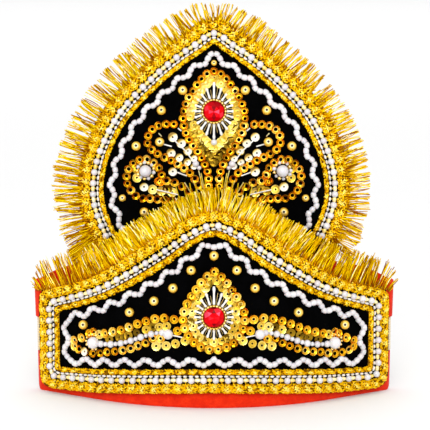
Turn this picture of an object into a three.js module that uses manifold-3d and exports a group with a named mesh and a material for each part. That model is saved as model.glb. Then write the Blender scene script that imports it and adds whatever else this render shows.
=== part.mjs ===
// Costume crown: a red felt band carrying two velvet panels with braid, pearls, sequins and tinsel fringe.
// Millimetres, +Z up, the front of the crown faces -Y.
// Each panel is laid out flat as (along, height, lift) and then bent on to its surface:
// along runs left to right, height is above the floor, lift is the distance in front of the velvet.
import * as THREE from 'three';
import { mergeVertices } from 'three/addons/utils/BufferGeometryUtils.js';
import Module from 'manifold-3d';

const wasm = await Module();
wasm.setup();

// Driving dimensions
const FRONT_RADIUS = 109;          // radius of the front panel's velvet face, seen from above
const WING_ANGLE = 33 * Math.PI / 180;   // the arc turns this far each side, then runs on straight
const PANEL_HALF = 98.4;           // half the front panel's length, along the velvet
const BRAID_HALF = 98.2;           // half the length that the border encloses
const WINDOW_HALF = 84.4;          // half the length of bare velvet inside the border
const GAP = 0.3;                   // clearance between pieces that are sewn or glued together
const PANEL_THICK = 1.8;           // velvet over board, front panel
const FELT_THICK = 1.4;            // red felt band
const ELASTIC_THICK = 1.0;
const CREST_THICK = 2.5;           // velvet over board, crest
const CREST_FACE = 22;             // how far the crest's velvet stands behind the front of the front panel
const CREST_FOOT = 12;             // lower end of the crest board, inside the band
const CREST_SHOULDER = 78;         // height where the crest clears the band and starts to swell
const CREST_STRIP_HALF = 59;       // half width of the crest board between the walls of the band

// The felt turns back round the ends of the front panel
const WING_END = 99;               // where the straight wing ends, along the velvet
const TURN_RADIUS = 8;             // radius of the turn, measured on the velvet's surface carried on
const TURN_SWEEP = Math.PI / 2 - WING_ANGLE;
const FELT_TAIL = 1.5;             // straight felt after the turn

// Elastic
const ELASTIC_LOW = 20.4;
const ELASTIC_HIGH = 37.6;
const ELASTIC_TUCK = 11;           // length sewn inside the wing
const NOTCH_PLAY = 0.35;           // clearance above and below the elastic in the notch
const ELASTIC_BACK = 3;            // straight run behind the turn before the round back
const ELASTIC_TURN_STEPS = 5;
const ELASTIC_BACK_STEPS = 24;

// Border layout, across from the outer edge (0) to the window's edge (1)
const BORDER = {
  braidOuter: [0.0, 0.37],
  pearlRow: 0.52,
  braidInner: [0.73, 1.0],
};
const BRAID_SHOULDER = 1.4;
const BRAID_CROWN = 2.1;
const GIMP_SHOULDER = 1.1;
const GIMP_CROWN = 1.7;
const PEARL_RADIUS = 1.45;         // pearls of the rows and of the zigzag strings
const STRING_SIDES = 8;
const MITRE_FLOOR = 0.5;           // keeps an offset from running out at a sharp corner

// Zigzag strings of pearls; inset runs from the border to the middle of the string
const FRONT_WAVE = { inset: 3.6, swing: 1.5, length: 11.3, half: 83.2 };
const CREST_WAVE = { inset: 3.4, swing: 1.2, length: 10.5 };
const WAVE_CORNER = 5;             // radius of the string's turns in the corners of the front window

// Fringe
const FRINGE_BASE = 1.2;           // thickness at the head
const FRINGE_TIP = 0.5;
const FRINGE_VALLEY = 0.3;         // depth of the partings between locks, as a share of the length
const FRINGE_MARGIN = 1.9;         // board that stands out past the braid and carries the fringe's head

// Sequins, beads and stones
const SEQUIN_HALF = 2.1;
const SEQUIN_LOW = GAP;
const SEQUIN_HIGH = 1.3;
const SEQUIN_STEP = 4.6;           // length of one straight stretch of a sequin line
const MEDALLION_STEPS = 26;
const GOLD_BEAD = 2.35;
const SMALL_GOLD_BEAD = 1.85;
const TIP_BEAD = 1.5;
const LARGE_PEARL = 3.0;
const MIDDLE_PEARL = 2.5;
const BEAD_SIDES = 10;
const BEAD_RINGS = 4;
const PEARL_RINGS = 5;

// Half of the front panel, from the middle to the end in eight equal shares.
// foot and crown are the border's outer edges, the window columns are the edges of the bare velvet,
// felt is the top of the red band behind.
const FRONT_EDGES = [
  { foot: 8.2, crown: 99.8, windowFoot: 20.5, windowCrown: 86.8, felt: 100.6 },
  { foot: 7.8, crown: 96.2, windowFoot: 20.4, windowCrown: 82.0, felt: 97.0 },
  { foot: 7.3, crown: 88.9, windowFoot: 20.1, windowCrown: 73.4, felt: 90.4 },
  { foot: 6.4, crown: 80.8, windowFoot: 19.4, windowCrown: 66.2, felt: 82.8 },
  { foot: 5.4, crown: 72.6, windowFoot: 18.6, windowCrown: 60.1, felt: 75.4 },
  { foot: 4.2, crown: 65.3, windowFoot: 17.6, windowCrown: 54.5, felt: 69.8 },
  { foot: 3.3, crown: 60.0, windowFoot: 16.6, windowCrown: 50.3, felt: 66.4 },
  { foot: 2.8, crown: 56.4, windowFoot: 15.7, windowCrown: 46.6, felt: 63.4 },
  { foot: 2.8, crown: 52.6, windowFoot: 15.0, windowCrown: 43.4, felt: 58.8 },
];
const EDGE_SHARES = FRONT_EDGES.length - 1;
const FRONT_CORNERS = { foot: 7, crown: 4, window: 0.9 };
const PANEL_CORNER = { run: 2.3, footFirst: 1.5, footSecond: 5.5, crownFirst: -0.4, crownSecond: 2.0 };
// The felt's free ends, past the wing: how far round the turn, and the ends' lower and upper edges
const FELT_ENDS = [
  { share: 0.25, low: 0.0, high: 58.2 },
  { share: 0.55, low: 0.6, high: 57.4 },
  { share: 0.8, low: 2.6, high: 56.4 },
  { share: 1.0, low: 7.0, high: 54.0 },
];

// Half of the crest's pearl row, from its lower end to the point
const CREST_ROW = [
  { half: 52.6, height: 81.0 },
  { half: 56.4, height: 89.6 },
  { half: 59.2, height: 98.4 },
  { half: 60.0, height: 106.5 },
  { half: 59.3, height: 114.8 },
  { half: 57.2, height: 123.4 },
  { half: 53.0, height: 133.6 },
  { half: 47.6, height: 143.2 },
  { half: 40.6, height: 152.0 },
  { half: 33.4, height: 159.2 },
  { half: 25.6, height: 166.4 },
  { half: 17.4, height: 173.0 },
  { half: 8.8, height: 178.8 },
  { half: 0.0, height: 184.2 },
];
const CREST_BORDER = { outer: 6.8, braidOuterInner: 1.9, gimpOuter: -3.0, gimpInner: -6.0 };

// Fringe lengths and lean along half of each edge (share runs from the middle to the end)
const FRONT_FRINGE = [
  { share: 0.0, length: 8.0, lean: 0 },
  { share: 0.3, length: 9.4, lean: 0 },
  { share: 0.55, length: 11.5, lean: 0 },
  { share: 0.8, length: 15.0, lean: 2 },
  { share: 0.93, length: 15.0, lean: 10 },
  { share: 1.0, length: 12.0, lean: 20 },
];
const FRONT_LOCKS = 42;
const CREST_FRINGE = [
  { share: 0.0, length: 6.8, lean: 0 },
  { share: 0.1, length: 11.4, lean: 0 },
  { share: 0.5, length: 12.0, lean: 0 },
  { share: 1.0, length: 12.5, lean: -8 },
];
const CREST_LOCKS = 62;

// Sequin lines, right-hand half; each is a smooth curve through these places
const FRONT_MEDALLION = [
  { along: 0, height: 69.4 }, { along: 5.4, height: 64.6 }, { along: 10.4, height: 57.6 },
  { along: 14.4, height: 49.8 }, { along: 15.0, height: 44.6 }, { along: 13.2, height: 38.6 },
  { along: 8.2, height: 32.9 }, { along: 0, height: 30.4 },
];
const FRONT_SCROLL = [
  { along: 20.2, height: 45.4 }, { along: 29.4, height: 45.0 }, { along: 38.3, height: 42.0 },
  { along: 47.6, height: 38.2 }, { along: 56.8, height: 35.8 }, { along: 63.8, height: 35.9 },
  { along: 70.0, height: 33.2 }, { along: 73.8, height: 29.8 }, { along: 73.4, height: 26.4 },
  { along: 69.6, height: 25.0 }, { along: 64.4, height: 24.3 }, { along: 57.4, height: 25.8 },
  { along: 49.0, height: 27.2 }, { along: 40.6, height: 30.0 }, { along: 32.2, height: 32.6 },
  { along: 24.4, height: 32.2 }, { along: 18.6, height: 33.2 },
];
const CREST_MEDALLION = [
  { along: 2.7, height: 108.4 }, { along: 2.8, height: 113.6 }, { along: 4.6, height: 119.4 },
  { along: 8.0, height: 125.6 }, { along: 12.0, height: 131.0 }, { along: 14.8, height: 138.4 },
  { along: 15.1, height: 144.8 }, { along: 12.8, height: 151.4 }, { along: 8.4, height: 158.4 },
  { along: 4.0, height: 163.8 }, { along: 0, height: 165.4 },
];
const CREST_SCROLL_UPPER = [
  { along: 19.8, height: 139.3 }, { along: 26.0, height: 139.0 }, { along: 31.0, height: 136.2 },
  { along: 33.0, height: 131.2 }, { along: 31.0, height: 126.8 }, { along: 26.6, height: 123.9 },
  { along: 20.6, height: 121.0 }, { along: 15.0, height: 117.6 }, { along: 10.6, height: 113.6 },
  { along: 7.7, height: 109.0 },
];
const CREST_SCROLL_LOWER = [
  { along: 26.6, height: 110.4 }, { along: 26.0, height: 115.2 }, { along: 29.0, height: 119.4 },
  { along: 34.2, height: 122.0 }, { along: 39.6, height: 120.2 }, { along: 43.2, height: 114.4 },
  { along: 42.0, height: 107.6 }, { along: 37.6, height: 103.0 }, { along: 31.0, height: 102.2 },
  { along: 24.0, height: 101.6 }, { along: 17.0, height: 101.0 },
];
const FRONT_STONE = { along: 0, height: 46.7 };
const CREST_STONE = { along: 0, height: 145.7 };
const STONE = { radius: 5.1, table: 3.0, seat: 0.8, girdleLow: 0.7, girdleHigh: 1.2, depth: 3.2, facets: 12 };
const BEZEL = { inner: 5.5, outer: 6.4, height: 1.9, sides: 16 };
const RAYS = { count: 20, width: 0.9, height: 1.1, from: 6.0, side: 9.8, top: 12.2, bottom: 11.0 };

// Round beads, right-hand half; those on the middle line are made once, the others on both sides
const FRONT_BEADS = [
  { along: 0, height: 77.6, radius: GOLD_BEAD },
  { along: 10.9, height: 70.3, radius: GOLD_BEAD },
  { along: 19.7, height: 61.2, radius: GOLD_BEAD },
  { along: 29.1, height: 54.3, radius: GOLD_BEAD },
  { along: 42.0, height: 47.8, radius: GOLD_BEAD },
  { along: 68.9, height: 38.7, radius: GOLD_BEAD },
];
const CREST_BEADS = [
  { along: 0, height: 169.6, radius: TIP_BEAD },
  { along: 15.4, height: 156.2, radius: GOLD_BEAD },
  { along: 25.9, height: 146.3, radius: GOLD_BEAD },
  { along: 38.4, height: 128.6, radius: GOLD_BEAD },
  { along: 26.8, height: 130.6, radius: GOLD_BEAD },
  { along: 45.4, height: 102.6, radius: SMALL_GOLD_BEAD },
  { along: 34.6, height: 95.6, radius: GOLD_BEAD },
];
const FRONT_PEARLS = [
  { along: 62.4, height: 30.4, radius: LARGE_PEARL },
  { along: 22.8, height: 38.0, radius: MIDDLE_PEARL },
];
const CREST_PEARLS = [{ along: 33.9, height: 116.2, radius: LARGE_PEARL }];

const MATERIALS = {
  felt: new THREE.MeshStandardMaterial({ color: 0xf03214, roughness: 0.95 }),
  velvet: new THREE.MeshStandardMaterial({ color: 0x07070a, roughness: 1 }),
  tinsel: new THREE.MeshStandardMaterial({ color: 0xe6af0a, roughness: 0.35, metalness: 1 }),
  gold: new THREE.MeshStandardMaterial({ color: 0xf5cd5a, roughness: 0.2, metalness: 1 }),
  sequin: new THREE.MeshStandardMaterial({ color: 0xe0a020, roughness: 0.25, metalness: 0.8 }),
  pearl: new THREE.MeshStandardMaterial({ color: 0xf4f0f4, roughness: 0.25 }),
  stone: new THREE.MeshStandardMaterial({ color: 0xe00014, roughness: 0.05 }),
  elastic: new THREE.MeshStandardMaterial({ color: 0xf0dcb4, roughness: 0.9 }),
};

const crown = new THREE.Group();

// Surfaces: from the flat layout to the bent panels

// Plan of the band at a run along the velvet: an arc, a straight wing, the turned end and a straight tail
function bandPlan(run, lift) {
  const side = run < 0 ? -1 : 1;
  const arcEnd = FRONT_RADIUS * WING_ANGLE;
  const distance = Math.abs(run);
  const angle = Math.min(distance / FRONT_RADIUS, WING_ANGLE);
  const wing = Math.min(Math.max(distance - arcEnd, 0), WING_END - arcEnd);
  const turn = Math.min(Math.max(distance - WING_END, 0) / TURN_RADIUS, TURN_SWEEP);
  const tail = Math.max(distance - WING_END - TURN_RADIUS * TURN_SWEEP, 0);
  const heading = angle + turn;
  let x = FRONT_RADIUS * Math.sin(angle) + wing * Math.cos(WING_ANGLE);
  let y = FRONT_RADIUS * (1 - Math.cos(angle)) + wing * Math.sin(WING_ANGLE);
  x += TURN_RADIUS * (Math.sin(heading) - Math.sin(angle)) + tail * Math.cos(heading);
  y += TURN_RADIUS * (Math.cos(angle) - Math.cos(heading)) + tail * Math.sin(heading);
  return { x: side * (x + lift * Math.sin(heading)), y: y - lift * Math.cos(heading) };
}

function onBand(along, height, lift) {
  const { x, y } = bandPlan(along, lift);
  return new THREE.Vector3(x, y, height);
}

// The front panel keeps to the arc and the straight wing, carried on where fringe leans out past the end
function onFront(along, height, lift) {
  const inside = THREE.MathUtils.clamp(along, -WING_END, WING_END);
  const { x, y } = bandPlan(inside, lift);
  const past = along - inside;
  const back = Math.abs(past) * Math.sin(WING_ANGLE);
  return new THREE.Vector3(x + past * Math.cos(WING_ANGLE), y + back, height);
}

function onCrest(along, height, lift) {
  return new THREE.Vector3(along, CREST_FACE - lift, height);
}

// Geometry helpers

function volume(geometry) {
  const p = geometry.attributes.position;
  const at = (i) => new THREE.Vector3().fromBufferAttribute(p, geometry.index ? geometry.index.getX(i) : i);
  const corners = geometry.index ? geometry.index.count : p.count;
  let sum = 0;
  for (let i = 0; i < corners; i += 3) sum += at(i).dot(at(i + 1).cross(at(i + 2)));
  return sum / 6;
}

// Turns a closed mesh the right way out
function outward(geometry) {
  if (volume(geometry) > 0) return geometry;
  const flipped = geometry.toNonIndexed();
  const p = flipped.attributes.position;
  const a = new THREE.Vector3();
  const b = new THREE.Vector3();
  for (let i = 0; i < p.count; i += 3) {
    a.fromBufferAttribute(p, i + 1);
    b.fromBufferAttribute(p, i + 2);
    p.setXYZ(i + 1, b.x, b.y, b.z);
    p.setXYZ(i + 2, a.x, a.y, a.z);
  }
  return flipped;
}

// Only positions, with shared corners merged
function welded(geometry) {
  const plain = geometry.clone();
  for (const name of Object.keys(plain.attributes)) {
    if (name !== 'position') plain.deleteAttribute(name);
  }
  return mergeVertices(plain, 1e-4);
}

// Bends a flat (along, height, lift) geometry on to a surface
function wrap(geometry, surface) {
  const bent = welded(geometry);
  const p = bent.attributes.position;
  for (let i = 0; i < p.count; i++) {
    const point = surface(p.getX(i), p.getY(i), p.getZ(i));
    p.setXYZ(i, point.x, point.y, point.z);
  }
  return outward(bent);
}

// Joins rings of points into a skin; a ring is a list of Vector3, closed on itself
function loft(rings, closed) {
  const size = rings[0].length;
  const positions = rings.flat().flatMap((point) => [point.x, point.y, point.z]);
  const index = [];
  const spans = closed ? rings.length : rings.length - 1;
  for (let i = 0; i < spans; i++) {
    const here = i * size;
    const next = ((i + 1) % rings.length) * size;
    for (let j = 0; j < size; j++) {
      const k = (j + 1) % size;
      index.push(here + j, next + j, next + k, here + j, next + k, here + k);
    }
  }
  if (!closed) {
    const last = (rings.length - 1) * size;
    for (let j = 1; j < size - 1; j++) {
      index.push(0, j, j + 1, last, last + j + 1, last + j);
    }
  }
  const geometry = new THREE.BufferGeometry();
  geometry.setAttribute('position', new THREE.Float32BufferAttribute(positions, 3));
  geometry.setIndex(index);
  return geometry;
}

function solid(geometry) {
  const mesh = welded(geometry);
  return new wasm.Manifold(new wasm.Mesh({
    numProp: 3,
    vertProperties: new Float32Array(mesh.attributes.position.array),
    triVerts: new Uint32Array(mesh.index.array),
  }));
}

function fromSolid(manifold) {
  const mesh = manifold.getMesh();
  const geometry = new THREE.BufferGeometry();
  geometry.setAttribute('position', new THREE.Float32BufferAttribute(mesh.vertProperties, 3));
  geometry.setIndex([...mesh.triVerts]);
  return geometry;
}

function addPiece(name, geometry, material) {
  const piece = new THREE.Mesh(geometry, material);
  piece.name = name;
  crown.add(piece);
}

// Flat outlines, as Vector2 (along, height)

const flat = (along, height) => new THREE.Vector2(along, height);
const mirrored = (points) => points.map((point) => flat(-point.x, point.y));
const fromTable = (rows) => rows.map((row) => flat(row.along ?? row.half, row.height));

function smoothed(points, steps) {
  return new THREE.SplineCurve(points).getSpacedPoints(steps);
}

// Left-hand normals along a path, lengthened at its corners so that an offset keeps its width
function normals(path, closed) {
  return path.map((point, i) => {
    const before = path[closed ? (i + path.length - 1) % path.length : Math.max(i - 1, 0)];
    const after = path[closed ? (i + 1) % path.length : Math.min(i + 1, path.length - 1)];
    const arriving = (before === point ? after.clone().sub(point) : point.clone().sub(before)).normalize();
    const leaving = (after === point ? arriving : after.clone().sub(point)).clone().normalize();
    const middle = arriving.clone().add(leaving).normalize();
    return flat(-middle.y, middle.x).divideScalar(Math.max(middle.dot(arriving), MITRE_FLOOR));
  });
}

function offset(path, distance, closed) {
  const across = normals(path, closed);
  return path.map((point, i) => point.clone().addScaledVector(across[i], distance));
}

// A table read at any share from 0 to 1 along its rows' share column
function readAt(rows, share, column) {
  const next = rows.findIndex((row) => row.share >= share);
  if (next <= 0) return rows[Math.max(next, 0)][column];
  const a = rows[next - 1];
  const b = rows[next];
  return THREE.MathUtils.mapLinear(share, a.share, b.share, a[column], b[column]);
}

// A flat band between two paths, square at the sides and crowned along the middle
function band(outer, inner, shoulder, crest, surface, closed) {
  const rings = outer.map((from, i) => {
    const to = inner[i];
    const middle = from.clone().lerp(to, 0.5);
    return [
      new THREE.Vector3(from.x, from.y, GAP),
      new THREE.Vector3(from.x, from.y, shoulder),
      new THREE.Vector3(middle.x, middle.y, crest),
      new THREE.Vector3(to.x, to.y, shoulder),
      new THREE.Vector3(to.x, to.y, GAP),
    ];
  });
  return wrap(loft(rings, closed), surface);
}

// A line of sequins, as a flat strip along a path
function sequinLine(path, surface, closed) {
  const left = offset(path, SEQUIN_HALF, closed);
  const right = offset(path, -SEQUIN_HALF, closed);
  const rings = left.map((from, i) => [
    new THREE.Vector3(from.x, from.y, SEQUIN_LOW),
    new THREE.Vector3(from.x, from.y, SEQUIN_HIGH),
    new THREE.Vector3(right[i].x, right[i].y, SEQUIN_HIGH),
    new THREE.Vector3(right[i].x, right[i].y, SEQUIN_LOW),
  ]);
  return wrap(loft(rings, closed), surface);
}

// A path that is walked one listed point at a time
class PointPath extends THREE.Curve {
  constructor(points) {
    super();
    this.points = points;
  }

  getPoint(t, target = new THREE.Vector3()) {
    const place = t * (this.points.length - 1);
    const start = Math.min(Math.floor(place), this.points.length - 2);
    return target.lerpVectors(this.points[start], this.points[start + 1], place - start);
  }

  getPointAt(u, target) {
    return this.getPoint(u, target);
  }

  getTangentAt(u) {
    const step = 0.5 / (this.points.length - 1);
    const before = this.getPoint(Math.max(u - step, 0));
    return this.getPoint(Math.min(u + step, 1)).sub(before).normalize();
  }
}

// A string of pearls as a round tube on a surface
function pearlString(path, surface) {
  const points = path.map((point) => surface(point.x, point.y, GAP + PEARL_RADIUS));
  const section = new THREE.Shape();
  for (let i = 0; i < STRING_SIDES; i++) {
    const angle = (2 * Math.PI * i) / STRING_SIDES;
    const corner = flat(PEARL_RADIUS * Math.cos(angle), PEARL_RADIUS * Math.sin(angle));
    if (i === 0) section.moveTo(corner.x, corner.y);
    else section.lineTo(corner.x, corner.y);
  }
  section.closePath();
  const extrudePath = new PointPath(points);
  const tube = new THREE.ExtrudeGeometry(section, { steps: points.length - 1, extrudePath });
  return outward(welded(tube));
}

// Swings a path from side to side, one turning point for each half wave, the same on both halves of the crown
function zigzag(path, { swing, length }, first) {
  const curve = new THREE.SplineCurve(path);
  const turns = 2 * Math.round(curve.getLength() / length);
  const even = curve.getSpacedPoints(turns);
  const across = normals(even, false);
  const step = (i) => (i % 2 ? -first : first) * swing;
  return even.map((point, i) => point.clone().addScaledVector(across[i], step(i)));
}

// Tinsel fringe in locks that part at their ends, on a head that runs along an edge
function fringe(edge, locks, table, surface) {
  const points = new THREE.SplineCurve(edge).getSpacedPoints(2 * locks);
  const across = normals(points, false);
  const rings = points.map((point, i) => {
    const share = Math.abs(i / locks - 1);
    const side = i < locks ? -1 : 1;
    const lean = -side * THREE.MathUtils.degToRad(readAt(table, share, 'lean'));
    const full = readAt(table, share, 'length');
    const reach = i % 2 ? full : full * (1 - FRINGE_VALLEY);
    const direction = across[i].clone().normalize().rotateAround(flat(0, 0), lean);
    const tip = point.clone().addScaledVector(direction, reach);
    return [
      new THREE.Vector3(point.x, point.y, GAP),
      new THREE.Vector3(point.x, point.y, GAP + FRINGE_BASE),
      new THREE.Vector3(tip.x, tip.y, GAP + FRINGE_TIP),
      new THREE.Vector3(tip.x, tip.y, GAP),
    ];
  });
  return wrap(loft(rings, false), surface);
}

// Sections of half a band, from the middle to the end, made up to the whole length
function bothEnds(half) {
  return [...half.slice(1).reverse().map((row) => ({ ...row, run: -row.run })), ...half];
}

// Red felt band: upright wall from the floor to its shaped top edge, ends turned back and notched
function headband() {
  const share = BRAID_HALF / EDGE_SHARES;
  const sections = FRONT_EDGES.map((row, i) => ({ run: share * i, low: 0, high: row.felt }));
  const turned = TURN_RADIUS * TURN_SWEEP + FELT_TAIL;
  FELT_ENDS.forEach((end) => sections.push({ ...end, run: WING_END + turned * end.share }));
  const outer = -PANEL_THICK - GAP;
  const inner = outer - FELT_THICK;
  const rings = bothEnds(sections).map(({ run, low, high }) => [
    onBand(run, low, outer), onBand(run, high, outer), onBand(run, high, inner), onBand(run, low, inner),
  ]);
  let wall = solid(outward(loft(rings, false)));
  const reach = 3 * TURN_RADIUS;
  for (const side of [-1, 1]) {
    const cut = new THREE.BoxGeometry(reach, reach, ELASTIC_HIGH - ELASTIC_LOW + 2 * NOTCH_PLAY);
    cut.translate(reach / 2, 0, (ELASTIC_HIGH + ELASTIC_LOW) / 2);
    cut.rotateZ(side > 0 ? WING_ANGLE : Math.PI - WING_ANGLE);
    const start = bandPlan(side * WING_END, outer);
    cut.translate(start.x, start.y, 0);
    wall = wall.subtract(solid(cut));
  }
  return fromSolid(wall);
}

// Elastic: tucked inside each wing, round the turn, and a plain half circle behind
function elastic() {
  const outer = -PANEL_THICK - FELT_THICK - 2 * GAP;
  const inner = outer - ELASTIC_THICK;
  const straight = WING_END + TURN_RADIUS * TURN_SWEEP + ELASTIC_BACK;
  const runs = [WING_END - ELASTIC_TUCK, WING_END];
  for (let i = 1; i <= ELASTIC_TURN_STEPS; i++) {
    runs.push(WING_END + (TURN_RADIUS * TURN_SWEEP * i) / ELASTIC_TURN_STEPS);
  }
  runs.push(straight);
  const leaf = (run) => ({ out: bandPlan(run, outer), in: bandPlan(run, inner) });
  const places = runs.map(leaf);
  const behind = places[places.length - 1];
  for (let i = 1; i < ELASTIC_BACK_STEPS; i++) {
    const angle = (Math.PI * i) / ELASTIC_BACK_STEPS;
    const turn = (point) => ({ x: point.x * Math.cos(angle), y: point.y + point.x * Math.sin(angle) });
    places.push({ out: turn(behind.out), in: turn(behind.in) });
  }
  runs.slice().reverse().forEach((run) => places.push(leaf(-run)));
  const at = ({ x, y }, height) => new THREE.Vector3(x, y, height);
  const rings = places.map((place) => [
    at(place.out, ELASTIC_LOW), at(place.out, ELASTIC_HIGH),
    at(place.in, ELASTIC_HIGH), at(place.in, ELASTIC_LOW),
  ]);
  return outward(loft(rings, false));
}

// Velvet front panel, a little larger than its border along the top so that it carries the fringe
function frontPanel() {
  const half = FRONT_EDGES.map((row, i) => ({
    run: (PANEL_HALF * i) / EDGE_SHARES,
    low: row.foot,
    high: row.crown + FRINGE_MARGIN,
  }));
  const end = half.pop();
  half.push({
    run: end.run - PANEL_CORNER.run,
    low: end.low + PANEL_CORNER.footFirst,
    high: end.high - PANEL_CORNER.crownFirst,
  });
  half.push({
    run: end.run,
    low: end.low + PANEL_CORNER.footSecond,
    high: end.high - PANEL_CORNER.crownSecond,
  });
  const rings = bothEnds(half).map(({ run, low, high }) => [
    new THREE.Vector3(run, low, 0), new THREE.Vector3(run, high, 0),
    new THREE.Vector3(run, high, -PANEL_THICK), new THREE.Vector3(run, low, -PANEL_THICK),
  ]);
  return wrap(loft(rings, false), onFront);
}

// Three points round a corner
function rounded(before, corner, after, radius) {
  const a = corner.clone().add(before.clone().sub(corner).setLength(radius));
  const b = corner.clone().add(after.clone().sub(corner).setLength(radius));
  const middle = a.clone().add(b).multiplyScalar(0.25).addScaledVector(corner, 0.5);
  return [a, middle, b];
}

// A loop round the front panel, anticlockwise from the bottom left; the same count of points on every loop
function frontLoop(half, footColumn, crownColumn, footRadius, crownRadius) {
  const edge = (share, column) => flat((half * share) / EDGE_SHARES, FRONT_EDGES[Math.abs(share)][column]);
  const foot = [];
  const crest = [];
  for (let i = 1 - EDGE_SHARES; i < EDGE_SHARES; i++) {
    foot.push(edge(i, footColumn));
    crest.unshift(edge(i, crownColumn));
  }
  const corner = (share, column) => edge(share * EDGE_SHARES, column);
  const sideways = (share) => [1, 2].map((third) => (
    corner(share, footColumn).lerp(corner(share, crownColumn), share > 0 ? third / 3 : 1 - third / 3)));
  const right = sideways(1);
  const left = sideways(-1);
  return [
    ...foot,
    ...rounded(foot[foot.length - 1], corner(1, footColumn), right[0], footRadius),
    ...right,
    ...rounded(right[1], corner(1, crownColumn), crest[0], crownRadius),
    ...crest,
    ...rounded(crest[crest.length - 1], corner(-1, crownColumn), left[0], crownRadius),
    ...left,
    ...rounded(left[1], corner(-1, footColumn), foot[0], footRadius),
  ];
}

// A loop opened at the middle of its bottom edge, where the two ends of a string meet
function openAtFoot(loop) {
  const middle = EDGE_SHARES - 1;
  const open = [...loop.slice(middle), ...loop.slice(0, middle + 1)].map((point) => point.clone());
  open[0].x += GAP;
  open[open.length - 1].x -= GAP;
  return open;
}

const outerLoop = frontLoop(BRAID_HALF, 'foot', 'crown', FRONT_CORNERS.foot, FRONT_CORNERS.crown);
const windowCorner = FRONT_CORNERS.window;
const windowLoop = frontLoop(WINDOW_HALF, 'windowFoot', 'windowCrown', windowCorner, windowCorner);
const frontRail = (share) => outerLoop.map((point, i) => point.clone().lerp(windowLoop[i], share));

addPiece('headband', headband(), MATERIALS.felt);
addPiece('elastic_strap', elastic(), MATERIALS.elastic);

// Front panel and its border
addPiece('front_panel', frontPanel(), MATERIALS.velvet);
const [braidFrom, braidTo] = BORDER.braidOuter;
const [gimpFrom, gimpTo] = BORDER.braidInner;
const frontBraid = band(frontRail(braidFrom), frontRail(braidTo), BRAID_SHOULDER, BRAID_CROWN, onFront, true);
addPiece('front_braid_outer', frontBraid, MATERIALS.tinsel);
const frontRow = openAtFoot(frontRail(BORDER.pearlRow));
addPiece('front_pearl_row', pearlString(frontRow, onFront), MATERIALS.pearl);
const frontGimp = band(frontRail(gimpFrom), frontRail(gimpTo), GIMP_SHOULDER, GIMP_CROWN, onFront, true);
addPiece('front_braid_inner', frontGimp, MATERIALS.tinsel);

// Fringe along the top of the front panel, left to right
const topEdge = [];
for (let i = -EDGE_SHARES; i <= EDGE_SHARES; i++) {
  topEdge.push(flat((BRAID_HALF * i) / EDGE_SHARES, FRONT_EDGES[Math.abs(i)].crown));
}
const frontHead = offset(topEdge, GAP, false);
addPiece('front_fringe', fringe(frontHead, FRONT_LOCKS, FRONT_FRINGE, onFront), MATERIALS.tinsel);

// Zigzag string inside the front window, starting and ending at the middle of the bottom
const stringLoop = frontLoop(FRONT_WAVE.half, 'windowFoot', 'windowCrown', WAVE_CORNER, WAVE_CORNER);
const insetLoop = offset(openAtFoot(stringLoop), FRONT_WAVE.inset, false);
addPiece('front_pearl_wave', pearlString(zigzag(insetLoop, FRONT_WAVE, 1), onFront), MATERIALS.pearl);

// Crest board: a leaf that stands on a straight strip between the walls of the band
const crestHalfRow = fromTable(CREST_ROW);
const crestRow = [...mirrored(crestHalfRow).slice(0, -1), ...crestHalfRow.slice().reverse()];
const crestRail = (distance) => offset(crestRow, distance, false);

function crestPanel() {
  const leaf = crestRail(CREST_BORDER.outer + FRINGE_MARGIN).filter((point) => point.y > CREST_SHOULDER);
  const outline = [
    flat(-CREST_STRIP_HALF, CREST_FOOT), flat(-CREST_STRIP_HALF, CREST_SHOULDER), ...leaf,
    flat(CREST_STRIP_HALF, CREST_SHOULDER), flat(CREST_STRIP_HALF, CREST_FOOT),
  ];
  const leafShape = new THREE.Shape(outline);
  const board = new THREE.ExtrudeGeometry(leafShape, { depth: CREST_THICK, bevelEnabled: false });
  board.translate(0, 0, -CREST_THICK);
  return wrap(board, onCrest);
}

addPiece('crest_panel', crestPanel(), MATERIALS.velvet);
const crestBraid = band(crestRail(CREST_BORDER.outer), crestRail(CREST_BORDER.braidOuterInner),
  BRAID_SHOULDER, BRAID_CROWN, onCrest, false);
addPiece('crest_braid_outer', crestBraid, MATERIALS.tinsel);
addPiece('crest_pearl_row', pearlString(crestRow, onCrest), MATERIALS.pearl);
const crestGimp = band(crestRail(CREST_BORDER.gimpOuter), crestRail(CREST_BORDER.gimpInner),
  GIMP_SHOULDER, GIMP_CROWN, onCrest, false);
addPiece('crest_braid_inner', crestGimp, MATERIALS.tinsel);
const crestHead = crestRail(CREST_BORDER.outer + GAP);
addPiece('crest_fringe', fringe(crestHead, CREST_LOCKS, CREST_FRINGE, onCrest), MATERIALS.tinsel);

// Zigzag string inside the crest's border
const crestInset = crestRail(CREST_BORDER.gimpInner - CREST_WAVE.inset);
addPiece('crest_pearl_wave', pearlString(zigzag(crestInset, CREST_WAVE, -1), onCrest), MATERIALS.pearl);

// Sequin work
const pathSteps = (points) => Math.round(new THREE.SplineCurve(points).getLength() / SEQUIN_STEP);

function medallionRing(rows) {
  const half = fromTable(rows);
  const around = [...half, ...mirrored(half).slice(1, -1).reverse()];
  return smoothed([...around, around[0]], MEDALLION_STEPS).slice(0, -1);
}

addPiece('front_medallion', sequinLine(medallionRing(FRONT_MEDALLION), onFront, true), MATERIALS.sequin);
const spadeHalf = fromTable(CREST_MEDALLION);
const crestSpade = [...mirrored(spadeHalf).slice(0, -1), ...spadeHalf.slice().reverse()];
const spadePath = smoothed(crestSpade, pathSteps(crestSpade));
addPiece('crest_medallion', sequinLine(spadePath, onCrest, false), MATERIALS.sequin);

function addScroll(name, rows, surface) {
  const right = fromTable(rows);
  const path = smoothed(right, pathSteps(right));
  addPiece(`${name}_right`, sequinLine(path, surface, false), MATERIALS.sequin);
  addPiece(`${name}_left`, sequinLine(mirrored(path), surface, false), MATERIALS.sequin);
}

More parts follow.
